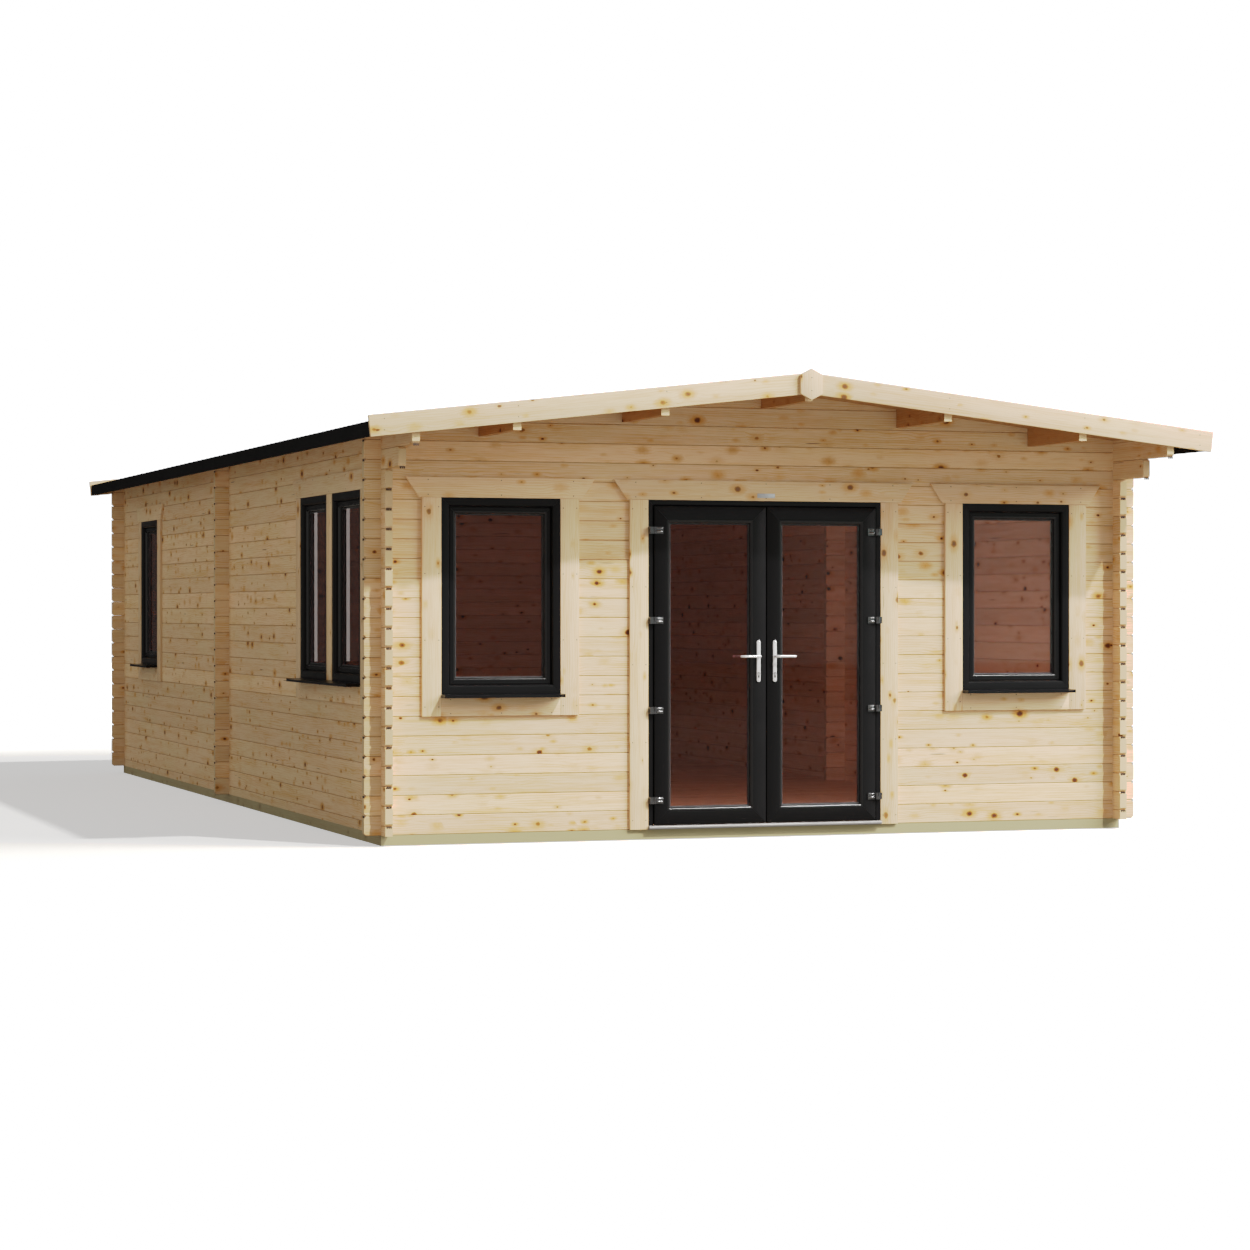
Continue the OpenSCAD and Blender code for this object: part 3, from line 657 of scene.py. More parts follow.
def worn(name, base, broad=4.0, fine=400.0, height=0.0002, darker=0.75, rough=(0.3, 0.45),
         **shader):
    """A material of one colour with a slow change of tone and sheen, and a fine height"""
    if name in bpy.data.materials:
        return bpy.data.materials[name]
    made, tree, principled = material(name, **shader)
    group = add(tree, "ShaderNodeGroup", {"Vector": coordinates(tree), "Broad": broad,
                                          "Fine": fine}, node_tree=surface_wear())
    dark = rgba([c * darker for c in base])
    feed(principled, {"Base Color": mix(group["Mask"], rgba(base), dark),
                      "Roughness": ramp(group["Mask"], 0.0, 1.0, *rough)})
    if height:
        bump(principled, group["Height"], height, 0.5)
    return made


def board_wood():
    """Pale pine of the trim and barge boards, which carry their own grain"""
    return wood("Board wood", None, pale=True, knots=0.85)


def mineral_felt():
    """Black roofing felt"""
    return worn("Mineral felt", bpy.context.scene.cabin_roof.felt, 2.5, 700.0, 0.0006, 0.85,
                (0.90, 0.95), Specular_IOR_Level=0.05)


def black_plastic():
    """Smooth satin plastic"""
    return worn("Black plastic", bpy.context.scene.cabin_windows.plastic, 3.0, 900.0, 0.0, 0.8,
                (0.28, 0.36), IOR=1.5, Specular_IOR_Level=0.09)


def bead_plastic():
    """Glossier plastic of the glazing beads"""
    return worn("Bead plastic", bpy.context.scene.cabin_windows.plastic, 3.0, 900.0, 0.0, 0.8,
                (0.18, 0.24), IOR=1.5, Specular_IOR_Level=0.28)


def rubber():
    """Black rubber of the gaskets"""
    return worn("Gasket rubber", bpy.context.scene.cabin_windows.rubber, 8.0, 600.0, 0.0001, 0.8,
                (0.55, 0.7))


def spacer_bar():
    """Dark composite of the bar between two panes"""
    return worn("Spacer bar", (0.05, 0.05, 0.052), 9.0, 700.0, 0.0, 0.9, (0.45, 0.55))


def polished_steel():
    """Polished steel of the handles"""
    return worn("Polished steel", bpy.context.scene.cabin_doors.steel, 9.0, 900.0, 0.0, 0.94,
                (0.24, 0.32), Metallic=0.42)


def tinted_glass():
    """Glass that lets the sun through to the rooms behind"""
    name = "Tinted glass"
    if name in bpy.data.materials:
        return bpy.data.materials[name]
    tint = bpy.context.scene.cabin_windows.tint
    made, tree, principled = material(name, Roughness=0.0, IOR=1.2, Transmission_Weight=1.0)
    group = add(tree, "ShaderNodeGroup", {"Vector": coordinates(tree), "Broad": 1.5},
                node_tree=surface_wear())
    patches = ramp(group["Mask"], 0.0, 1.0, 0.0, 0.4)
    feed(principled, {"Base Color": mix(patches, rgba(tint), rgba([c * 0.96 for c in tint]))})
    clear = add(tree, "ShaderNodeBsdfTransparent", {"Color": rgba([c ** 0.5 for c in tint])})
    lamp = add(tree, "ShaderNodeLightPath")["Is Shadow Ray"]
    both = flow("ShaderNodeMixShader", {0: lamp, 1: Wire(principled.outputs[0]), 2: clear[0]})
    feed(tree.nodes["Material Output"], {"Surface": both})
    return made


# ---------------------------------------------------------------- repeats with Geometry Nodes


def repeat_tree(name, inputs):
    """A new Geometry Nodes tree with a geometry, a material and the inputs named"""
    return new_tree("GeometryNodeTree", name,
                    (("Geometry", "Geometry"), *inputs, ("Material", "Material")),
                    (("Geometry", "Geometry"),))


def realise(placed, given, out):
    """The end of a tree: its instances made real, with the material given"""
    real = flow("GeometryNodeRealizeInstances", {0: placed})
    feed(out, {0: flow("GeometryNodeSetMaterial", {0: real, "Material": given["Material"]})})


def copies_tree():
    """Puts a copy of an object on each point, turned so that its Z looks along the point's out"""
    name = "Copies on points"
    if name in bpy.data.node_groups:
        return bpy.data.node_groups[name]
    tree, given, out = repeat_tree(name, (("Copy", "Object"),))
    outwards = add(tree, "GeometryNodeInputNamedAttribute", {"Name": "out"},
                   data_type="FLOAT_VECTOR")["Attribute"]
    turn = flow("FunctionNodeAlignRotationToVector", {"Vector": outwards}, axis="Z")
    turn = flow("FunctionNodeAlignRotationToVector",
                {"Rotation": turn, "Vector": (0.0, 0.0, 1.0)}, axis="Y", pivot_axis="Z")
    shape = flow("GeometryNodeObjectInfo", {"Object": given["Copy"]}, "Geometry")
    realise(flow("GeometryNodeInstanceOnPoints",
                 {"Points": given["Geometry"], "Instance": shape, "Rotation": turn}), given, out)
    return tree


def row_tree():
    """Repeats a shape in a straight row"""
    name = "Row of boards"
    if name in bpy.data.node_groups:
        return bpy.data.node_groups[name]
    tree, given, out = repeat_tree(name, (("Count", "Int"), ("Step", "Vector")))
    line = flow("GeometryNodeMeshLine", {"Count": given["Count"], "Offset": given["Step"]})
    realise(flow("GeometryNodeInstanceOnPoints",
                 {"Points": line, "Instance": given["Geometry"]}), given, out)
    return tree


def run_tree(base, tree, values):
    """The plain mesh that a tree makes from an object's mesh. The object is removed."""
    modifier = base.modifiers.new("Repeat", "NODES")
    modifier.node_group = tree
    for item in tree.interface.items_tree:
        if item.in_out == "INPUT" and item.name in values:
            modifier[item.identifier] = values[item.name]
    bpy.context.view_layer.update()
    graph = bpy.context.evaluated_depsgraph_get()
    shape = bpy.data.meshes.new_from_object(base.evaluated_get(graph), depsgraph=graph,
                                            preserve_all_data_layers=True)
    base.modifiers.remove(modifier)
    bpy.data.objects.remove(base)
    return shape


def copies(name, points, shape, made):
    """One piece from a shape, a bmesh whose Z looks outwards, on each (point, outward vector)"""
    data = bpy.data.meshes.new(name)
    data.from_pydata([point for point, _ in points], [], [])
    out = data.attributes.new("out", "FLOAT_VECTOR", "POINT")
    for i, (_, vector) in enumerate(points):
        out.data[i].vector = vector
    source = new_object("copied", shape)
    result = run_tree(new_object(name + "_points", data), copies_tree(),
                      {"Copy": source, "Material": made})
    bpy.data.objects.remove(source)
    piece(name, result, None)


def row_of(name, shape, count, step, made, node):
    """One piece from a shape, a bmesh, repeated in a row"""
    result = run_tree(new_object(name + "_first", shape), row_tree(),
                      {"Count": count, "Step": step, "Material": made})
    piece(name, result, None, node)


def nail_head(radius, height):
    """A nail's head: a low dome on Z"""
    mesh = bmesh.new()
    lathe(mesh, [(-height, radius), (height * 0.4, radius), (height, radius * 0.7)],
          (0, 0, 0), (0, 0, 1), 10)
    return mesh


# ---------------------------------------------------------------- operators


class CabinOperator:
    """What the operators share"""

    bl_options = {"REGISTER", "UNDO"}

    def execute(self, context):
        """Builds the operator's pieces"""
        self.build(context.scene)
        return {"FINISHED"}


class CABIN_OT_walls(CabinOperator, bpy.types.Operator):
    """Planed logs of the walls, with painted shade in the joints' grooves on their free ends"""

    bl_idname = "cabin.walls"
    bl_label = "Log walls"

    def build(self, scene):
        """Wood on the CAD logs, of its own for each direction and side, and the painted joint shade
        """
        sizes = scene.cabin_timber
        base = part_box("base_bearers")[1].z
        across = ("front_wall_left", "front_wall_right", "front_gable", "mid_stub_left",
                  "mid_stub_right")
        for name, order, seed, nodes in (
                ("Logs across", "XYZ", 1.0, across),
                ("Logs across back", "XYZ", 2.0, ("back_wall",)),
                ("Logs along", "YXZ", 3.0, ("left_wall_front", "left_wall_back")),
                ("Logs along right", "YXZ", 4.0, ("right_wall_front", "right_wall_back"))):
            start = base if order == "XYZ" else base - sizes.course / 2
            paint(wood(name, order, sizes.course, start, seed), *nodes)
        self.painted_joint_shade(sizes)

    @staticmethod
    def painted_joint_shade(sizes):
        """Painted shade: a dark row of teeth in the groove at each joint of two logs, on the ends
        that stand free
        """
        outside = (2.38, 4.35)  # how far from the middle free ends are, across and along
        lowest, whole = 0.1, 0.6 * sizes.course
        walls = {"front_wall_left": (0, -1), "front_wall_right": (0, 1), "back_wall": (0, 0),
                 "front_gable": (0, 0), "mid_stub_left": (0, 0), "mid_stub_right": (0, 0),
                 "left_wall_front": (1, -1), "right_wall_front": (1, -1),
                 "left_wall_back": (1, 1), "right_wall_back": (1, 1)}
        points = []
        for node, (axis, facing) in walls.items():
            for low, high in solid_boxes(node):
                for way in (-1, 1):
                    end = (low, high)[way > 0][axis]
                    if (facing in (way, 0) and abs(end) > outside[axis] and low.z > lowest
                            and high.z - low.z > whole):
                        point, out = (low + high) / 2, Vector((0, 0, 0))
                        point[axis], point.z, out[axis] = end, low.z, way
                        points.append((point, out))
        width = sizes.joint_shade_width
        tooth = ((-0.160, 0.001), (0.160, 0.001), (0.145, -width * 0.16), (0.065, -width * 0.38),
                 (-0.065, -width * 0.38), (-0.145, -width * 0.16))
        mesh = bmesh.new()
        for s in (-1, 0, 1):
            slab(mesh, 2, [(s * width / 3 + width * across, up) for across, up in tooth],
                 (-0.002, 0.0004))
        # Painted shade: a near-black brown for the shaded V between two logs
        dark = worn("Joint shadow", (0.034, 0.016, 0.007), 30.0, 300.0, 0.0003, 0.6, (0.8, 0.95))
        copies("log_end_marks", points, mesh, dark)


def even_boards(node, about):
    """A CAD sheet's corners, and the number and true width of the boards that fill it"""
    low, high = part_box(node)
    count = round((high.y - low.y) / about)
    return low, high, count, (high.y - low.y) / count


class CABIN_OT_base(CabinOperator, bpy.types.Operator):
    """Treated bearers and the boards of the floor"""

    bl_idname = "cabin.base"
    bl_label = "Base and floor"

    def build(self, scene):
        """Treated wood on the bearers, and a row of floor boards with eased edges"""
        paint(wood("Treated bearers", "YXZ", seed=7.0, knots=0.8, treated=True), "base_bearers")
        low, high, count, width = even_boards("floor_boards", scene.cabin_roof.floor_board)
        start, end, ease = low.y, low.y + width, 0.0015
        outline = [(start + ease, low.z), (end - ease, low.z), (end - GAP, low.z + ease),
                   (end - GAP, high.z - ease), (end - ease, high.z), (start + ease, high.z),
                   (start + GAP, high.z - ease), (start + GAP, low.z + ease)]
        mesh = bmesh.new()
        slab(mesh, 0, outline, (low.x, high.x))
        made = wood("Floor wood", "XZY", width, low.y, 9.0, 0.9)
        row_of("floor_planks", mesh, count, (0.0, width, 0.0), made, "floor_boards")


class CABIN_OT_roof(CabinOperator, bpy.types.Operator):
    """Roof boards, purlins, felt, eave boards and barge boards"""

    bl_idname = "cabin.roof"
    bl_label = "Roof"

    def build(self, scene):
        """The roof from the purlins up"""
        sizes = scene.cabin_roof
        # The purlins' sides get painted shade
        paint(wood("Purlin wood", "YXZ", 0.6, -0.2, 12.0, deep=True), "ridge_purlin",
              "side_purlins")
        for name, way in SIDES.items():
            self.planks(sizes, name, way)
            self.felt(sizes, name, way)
        self.ridge()
        self.clouts(sizes)
        self.barges()
        paint(mineral_felt(), "eave_fascias")

    @staticmethod
    def planks(sizes, name, way):
        """Boards from the ridge to the eave, with a V where two meet"""
        node = "roof_boards_" + name
        low, _, count, width = even_boards(node, sizes.board)
        reach, top, fall = roof_line(node, way, False)
        under, over = heights(node, way * reach)
        thick, start, end, groove = over - under, low.y, low.y + width, sizes.groove / 2
        outline = [(start + GAP, thick), (start + GAP, groove), (start + groove, 0.0),
                   (end - groove, 0.0), (end - GAP, groove), (end - GAP, thick)]
        mesh = bmesh.new()
        loft(mesh, [[(way * x, y, top - fall * x + z) for y, z in outline] for x in (GAP, reach)])
        # The roof boards' sides get painted shade
        made = wood("Roof board wood " + name, "XZY", width, low.y, 20.0 + way, 0.95, deep=True)
        row_of("roof_planks_" + name, mesh, count, (0.0, width, 0.0), made, node)

    @staticmethod
    def felt(sizes, name, way):
        """Sheets of felt along the roof, each over the edge of the one below, and the eave's lap"""
        node = "roof_felt_" + name
        low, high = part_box(node)
        reach, top, fall = roof_line(node, way, True)
        thick, over, drop = 0.003, 0.0022, 0.0035  # a sheet, its rise over a lap, the eave's lap
        mesh = bmesh.new()
        start, lift = reach, 0.0
        while start > 0.02:
            end = max(start - sizes.sheet - sizes.lap, 0.001)
            points = [(start, lift), (start - sizes.lap * 1.3, lift),
                      (start - sizes.lap * 1.5, 0.0), (end, 0.0)]
            outline = [(way * x, top - fall * x - thick + z) for x, z in points]
            outline += [(way * x, top - fall * x + z) for x, z in reversed(points)]
            slab(mesh, 1, outline, (low.y, high.y))
            start, lift = end if end < 0.01 else end + sizes.lap, over
        outline = rectangle(reach - drop, low.z, reach, top - fall * reach - 0.0005)
        slab(mesh, 1, [(way * x, z) for x, z in outline], (low.y, high.y))
        piece("felt_sheets_" + name, mesh, mineral_felt(), node)

    @staticmethod
    def ridge():
        """The capping strip over the ridge"""
        low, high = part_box("roof_felt_left")
        _, top, fall = roof_line("roof_felt_left", -1, True)
        half, edge, crown = 0.16, 0.0052, 0.0062
        outline = [(-half, 0.0), (0.0, 0.0), (half, 0.0), (half, edge), (0.0, crown),
                   (-half, edge)]
        mesh = bmesh.new()
        slab(mesh, 1, [(x, top - fall * abs(x) + z) for x, z in outline], (low.y, high.y))
        piece("ridge_felt", mesh, mineral_felt())

    @staticmethod
    def clouts(sizes):
        """Felt nails above the eaves and beside the ridge strip"""
        low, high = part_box("roof_felt_left")
        reach, top, fall = roof_line("roof_felt_left", -1, True)
        rows = ((0.14, 0.0054), (reach - 0.03, 0.0003))  # distance across, height over the felt
        points = []
        for way in SIDES.values():
            up = Vector((way * fall, 0, 1)).normalized()
            for k in range(int((high.y - low.y) / sizes.clout_pitch)):
                y = low.y + (k + 0.5) * sizes.clout_pitch
                for x, lift in rows:
                    points.append((Vector((way * x, y, top - fall * x + lift)), up))
        galvanised = worn("Galvanised", (0.32, 0.33, 0.34), 20.0, 600.0, 0.0001, 0.7, (0.35, 0.5),
                          Metallic=1.0)
        copies("felt_nails", points, nail_head(sizes.clout, 0.0012), galvanised)

    @staticmethod
    def barges():
        """Barge boards with eased edges, and the pointed blocks over their joints"""
        for end in ("front", "back"):
            node = "barge_boards_" + end
            boards = Boards(5)
            for low, high in solid_boxes(node):
                way = 1 if high.x > 0.1 else -1
                boards.add([Vector((x, low.y, z)) for x, z in barge_outline(node, way)],
                           (0, high.y - low.y, 0), (way, 0, -0.1125), 0.0025)
            piece("barge_" + end, boards.mesh, board_wood(), node)
        boards = Boards(11)
        for low, high in solid_boxes("apex_blocks"):
            half = high.x
            foot, shoulder = (round(z, 4) for z in heights("apex_blocks", half))
            outline = [(0, low.z), (half, foot), (half, shoulder), (0, high.z), (-half, shoulder),
                       (-half, foot)]
            boards.add([Vector((x, low.y, z)) for x, z in outline], (0, high.y - low.y, 0),
                       (0, 0, 1), 0.003)
        piece("apex_points", boards.mesh, board_wood(), "apex_blocks")


class CABIN_OT_trims(CabinOperator, bpy.types.Operator):
    """Boards round the windows and the door, their nails and the plain plaque"""

    bl_idname = "cabin.trims"
    bl_label = "Trim boards"

    def build(self, scene):
        """The boards, then the nails of all boards as one piece, then the plaque"""
        sizes = scene.cabin_timber
        nails = []
        for name, wall, node in (("window_surrounds_front", "front", "window_trims_front"),
                                 ("window_surrounds_side", "side", "window_trims_side"),
                                 ("door_surround", "front", "door_trims")):
            place, axis, _ = WALLS[wall]
            boards = Boards(len(name))
            origin = place(0, 0, 0)
            out = place(0, -1, 0) - origin
            for low, high in solid_boxes(node):
                a, b = low[axis], high[axis]
                wide = b - a > high.z - low.z
                depth = low[1 - axis] - high[1 - axis]
                outline = rectangle(a, low.z, b, high.z)
                if wide:
                    feet = [v.co[axis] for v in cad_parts[node].data.vertices
                            if abs(v.co.z - low.z) < NEAR and a - NEAR < v.co[axis] < b + NEAR]
                    outline[:2] = [(min(feet), low.z), (max(feet), low.z)]
                along = place(1, 0, 0) - origin if wide else (0, 0, 1)
                boards.add([place(u, 0.0, w) for u, w in outline], place(0, depth, 0) - origin,
                           along, sizes.board_edge)
                nails += [(place(u, depth, w), out) for u, w in nail_rows(sizes, outline, wide)]
            piece(name, boards.mesh, board_wood(), node)
        for outward, node in ((-1, "barge_boards_front"), (1, "barge_boards_back")):
            nails += self.barge_nails(outward, node)
        steel = worn("Nail steel", (0.10, 0.085, 0.07), 30.0, 500.0, 0.0001, 0.6, (0.4, 0.6),
                     Metallic=0.6)
        copies("nail_heads", nails, nail_head(sizes.nail_radius, 0.0008), steel)
        self.plaque(scene.cabin_doors)

    @staticmethod
    def barge_nails(outward, node):
        """A pair of nails over each purlin and two on the block at the ridge"""
        from_end, rows = 0.09, (0.028, 0.090)
        low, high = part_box(node)
        face = (low, high)[outward > 0].y
        out = Vector((0, outward, 0))
        purlins = sorted({round((a.x + b.x) / 2, 3) for a, b in solid_boxes("side_purlins")})
        (x0, _), (_, z1), (x2, z2), _ = barge_outline(node, 1)
        fall = (z1 - z2) / (x2 - x0)
        found = [(Vector((x, face, z1 - fall * abs(x) - down)), out)
                 for x in purlins + [-high.x + from_end, high.x - from_end] for down in rows]
        low, high = next(box for box in solid_boxes("apex_blocks")
                         if (box[0].y < 0) == (outward < 0))
        face = (low, high)[outward > 0].y
        return found + [(Vector((0, face, low.z + share * (high.z - low.z))), out)
                        for share in (0.30, 0.72)]

    @staticmethod
    def plaque(sizes):
        """The plain plaque on the board over the doors, with two pins"""
        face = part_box("door_trims")[0].y
        head = next(low for low, high in solid_boxes("door_trims") if high.x - low.x > 1.0)
        half, rise, z = sizes.plaque_width / 2, sizes.plaque_height / 2, head.z + 0.031
        mesh = bmesh.new()
        block(mesh, (-half, face - 0.002, z - rise), (half, face + 0.001, z + rise), 0.0007)
        for s in (-1, 1):
            lathe(mesh, [(0, 0.002), (0.0009, 0.002), (0.0014, 0.0012)],
                  (s * (half - 0.006), face - 0.002, z), (0, -1, 0), 10)
        metal = worn("Plain plaque", (0.50, 0.52, 0.54), 40.0, 900.0, 0.00005, 0.85, (0.3, 0.45),
                     Metallic=0.7)
        piece("plain_plaque", mesh, metal)


def nail_rows(sizes, outline, wide):
    """The places, as (across, up), of pairs of nails along an upright or a wide board"""
    (left, bottom), (right, _), (_, top), _ = outline
    level, upright = (left, right), (bottom, top)
    (start, end), edges = (level, upright) if wide else (upright, level)
    from_end = 0.055
    count = max(2, round((end - start) / sizes.nail_pitch) + 1)
    for k in range(count):
        along = start + from_end + k * (end - start - 2 * from_end) / (count - 1)
        for across in (edges[0] + sizes.nail_inset, edges[1] - sizes.nail_inset):
            yield (along, across) if wide else (across, along)


def on_wall(wall, low, high):
    """A CAD box as it lies on its wall: its outline, and the depths of its two faces"""
    _, axis, face = WALLS[wall]
    return (rectangle(low[axis], low.z, high[axis], high.z), low[1 - axis] - face,
            high[1 - axis] - face)


def bead_profile(start, face, near, at_glass):
    """The outline of a glazing bead: a rebate behind it and a rounded face down to the glass"""
    a, b = start + GAP, face - 0.0015
    outer, inner = near + 0.0006, at_glass - 0.002 - GAP
    drop = inner - outer - 0.002
    turns = [math.radians(15 * k) for k in range(7)]
    return [(a, inner), (a, outer)] + [
        (a + 0.001 + (b - a - 0.001) * math.sin(t), outer + drop * (1 - math.cos(t)))
        for t in turns] + [(b, inner)]


def glazing(sizes, glass, spacers, wall, low, high):
    """Two panes and the dark bar between them"""
    outline, near, far = on_wall(wall, low, high)
    place = WALLS[wall][0]
    for start in (near, far - sizes.pane):
        loft(glass, [[place(u, depth, w) for u, w in outline]
                     for depth in (start, start + sizes.pane)])
    bar = rectangle(0, near + sizes.pane + 0.0002, sizes.spacer, far - sizes.pane - 0.0002)
    bars(spacers, outline, bar, place)


class CABIN_OT_windows(CabinOperator, bpy.types.Operator):
    """Window frames, sashes, gaskets, glass and cills"""

    bl_idname = "cabin.windows"
    bl_label = "Windows"

    def build(self, scene):
        """One piece of each kind for all windows of a wall"""
        sizes = scene.cabin_windows
        for name in WALLS:
            frames, sashes, beads, seals, glass, spacers = (bmesh.new() for _ in range(6))
            nodes = [f"window_{kind}_{name}" for kind in ("frames", "sashes", "glass")]
            for outer, inner, pane in zip(*(solid_boxes(node) for node in nodes)):
                self.frame_bars(sizes, frames, name, outer, inner)
                self.sash_bars(sizes, sashes, beads, seals, name, inner, pane)
                glazing(sizes, glass, spacers, name, *pane)
            piece("window_rims_" + name, frames, black_plastic(), nodes[0])
            piece("window_leaves_" + name, sashes, black_plastic(), nodes[1])
            piece("window_beads_" + name, beads, bead_plastic(), smooth=40)
            piece("window_gaskets_" + name, seals, rubber())
            piece("window_panes_" + name, glass, tinted_glass(), nodes[2],
                  smooth=0)
            piece("window_spacers_" + name, spacers, spacer_bar())
        self.cills()

    @staticmethod
    def frame_bars(sizes, mesh, wall, outer, inner):
        """The fixed frame: a flat face, a bevel towards the sash and a rebate"""
        outline, near, far = on_wall(wall, *outer)
        face = on_wall(wall, *inner)[0][0][0] - outline[0][0]
        ease = 0.0015
        profile = [(0, far), (0, near + ease), (ease, near), (face - sizes.bevel, near),
                   (face - sizes.bevel * 0.72, near + 0.0012), (face - 0.0025, near + 0.008),
                   (face - 0.0008, near + 0.011), (face - 0.0008, far)]
        bars(mesh, outline, profile, WALLS[wall][0], sizes.mitre)

    @staticmethod
    def sash_bars(sizes, mesh, beads, seals, wall, inner, pane):
        """The sash: its face, the bead that rounds to the glass and the gaskets"""
        outline, near, far = on_wall(wall, *inner)
        glass_outline, at_glass, _ = on_wall(wall, *pane)
        place = WALLS[wall][0]
        face = glass_outline[0][0] - outline[0][0]
        ease, gap, start = 0.002, 0.0035, face - sizes.bead
        profile = [(gap, far), (gap, near + ease), (gap + ease, near), (start - 0.001, near),
                   (start, near + 0.001), (start, at_glass - 0.002),
                   (face - 0.001, at_glass - 0.002), (face - 0.001, far)]
        bars(mesh, outline, profile, place, sizes.mitre)
        bars(beads, outline, bead_profile(start, face, near, at_glass), place, sizes.mitre)
        seal = [(face - 0.0012, at_glass - 0.0018), (face + sizes.gasket, at_glass - 0.0004),
                (face + sizes.gasket, at_glass), (face - 0.0012, at_glass)]
        bars(seals, outline, seal, place)
        bars(seals, outline, rectangle(0.0, near + 0.016, gap, near + 0.030), place)

    @staticmethod
    def cills():
        """The cills' plastic, and a cap on each of their ends"""
        half, depth, height = 0.0025, 0.085, 0.019
        caps = bmesh.new()
        for low, high in solid_boxes("window_cills"):
            axis = 0 if high.x - low.x > high.y - low.y and low.y < WALL_FRONT + 0.01 else 1
            for end in (low[axis], high[axis]):
                a, b = Vector(low), Vector(low)
                a[axis], b[axis] = end - half, end + half
                b[1 - axis], b.z = low[1 - axis] + depth, low.z + height
                block(caps, a, b, 0.001, 1)
        paint(black_plastic(), "window_cills")
        piece("cill_caps", caps, black_plastic())


class CABIN_OT_doors(CabinOperator, bpy.types.Operator):
    """Door frame, threshold, leaves and their glass"""

    bl_idname = "cabin.doors"
    bl_label = "Doors"

    def build(self, scene):
        """The frame with its threshold, then each leaf"""
        sizes = scene.cabin_windows
        self.frame_bars(sizes)
        self.threshold(scene.cabin_doors)
        for name in SIDES:
            self.leaf(sizes, name)

    @staticmethod
    def frame_bars(sizes):
        """The frame: an open path up one jamb, over the head and down the other"""
        low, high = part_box("door_frame")
        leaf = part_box("door_leaf_left")[1]
        near, far = low.y - WALL_FRONT, high.y - WALL_FRONT
        clear, ease, rebate = 0.005, 0.0015, 0.0148
        face, stop = high.z - leaf.z - clear, leaf.y - WALL_FRONT + clear
        profile = [(0, far), (0, near + ease), (ease, near), (face - 0.003, near),
                   (face, near + 0.003), (face, stop), (face + rebate, stop),
                   (face + rebate, far)]
        path = [(high.x, low.z), (high.x, high.z), (low.x, high.z), (low.x, low.z)]
        mesh, seals = bmesh.new(), bmesh.new()
        bars(mesh, path, profile, front, sizes.mitre, closed=False)
        piece("door_rim", mesh, black_plastic(), "door_frame")
        seal = [(face + 0.003, stop - 0.0042), (face + 0.007, stop - 0.0046),
                (face + 0.009, stop), (face + 0.003, stop)]
        bars(seals, path, seal, front, closed=False)
        piece("door_rim_gasket", seals, rubber())

    @staticmethod
    def threshold(sizes):
        """The threshold: a ribbed tread with a rounded drip nose"""
        low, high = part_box("door_threshold")
        top, first, pitch, deep = high.z, 0.046, 0.008, 0.0016
        outline = [(high.y, low.z), (high.y, top), (low.y + 0.052, top)]
        for k in range(5):
            start = low.y + first - pitch * k
            outline += [(start, top), (start - 0.001, top - deep), (start - 0.003, top - deep),
                        (start - 0.004, top)]
        outline += [(low.y + 0.006, top - 0.0008), (low.y + 0.002, top - 0.0045),
                    (low.y, top - 0.009), (low.y, low.z + 0.004), (low.y + 0.008, low.z + 0.004),
                    (low.y + 0.008, low.z)]
        mesh = bmesh.new()
        slab(mesh, 0, outline, (low.x, high.x))
        metal = worn("Threshold metal", sizes.sill, 6.0, 700.0, 0.0, 0.82, (0.34, 0.46),
                     Metallic=0.5)
        piece("threshold_tread", mesh, metal, "door_threshold")

    @staticmethod
    def leaf(sizes, name):
        """A leaf's bars with the bead that rounds to the glass, and its glass"""
        body, leaf_node, glass_node = name + "_leaf", "door_leaf_" + name, "door_glass_" + name
        outline, near, far = on_wall("front", *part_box(leaf_node))
        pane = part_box(glass_node)
        glass_outline, at_glass, behind = on_wall("front", *pane)
        face = glass_outline[0][0] - outline[0][0]
        ease, start = 0.003, face - sizes.bead - 0.004
        profile = [(0.0, far - ease), (0.0, near + ease), (ease * 0.35, near + ease * 0.35),
                   (ease, near), (start - 0.001, near), (start, near + 0.001),
                   (start, at_glass - 0.002), (face - 0.001, at_glass - 0.002),
                   (face - 0.001, behind + 0.002), (face - 0.004, behind + 0.005),
                   (face - sizes.bead, far - 0.002), (start, far), (ease, far)]
        mesh, beads, seals, glass, spacers = (bmesh.new() for _ in range(5))
        bars(mesh, outline, profile, front, sizes.mitre)
        bars(beads, outline, bead_profile(start, face, near, at_glass), front, sizes.mitre)
        for plane, way in ((at_glass, -1), (behind, 1)):
            seal = [(face - 0.0012, plane + way * 0.002),
                    (face + sizes.gasket, plane + way * 0.0004),
                    (face + sizes.gasket, plane), (face - 0.0012, plane)]
            bars(seals, outline, seal, front)
        glazing(sizes, glass, spacers, "front", *pane)
        for kind, shape, made, slot, node, smooth in (
                ("bars", mesh, black_plastic(), "black_frame", leaf_node, 30),
                ("beads", beads, bead_plastic(), "black_frame", None, 40),
                ("gaskets", seals, rubber(), "black_frame", None, 30),
                ("panes", glass, tinted_glass(), "bronze_glass", glass_node, 0),
                ("spacers", spacers, spacer_bar(), "black_frame", None, 30)):
            piece(f"leaf_{kind}_{name}", shape, made, node, body, smooth)


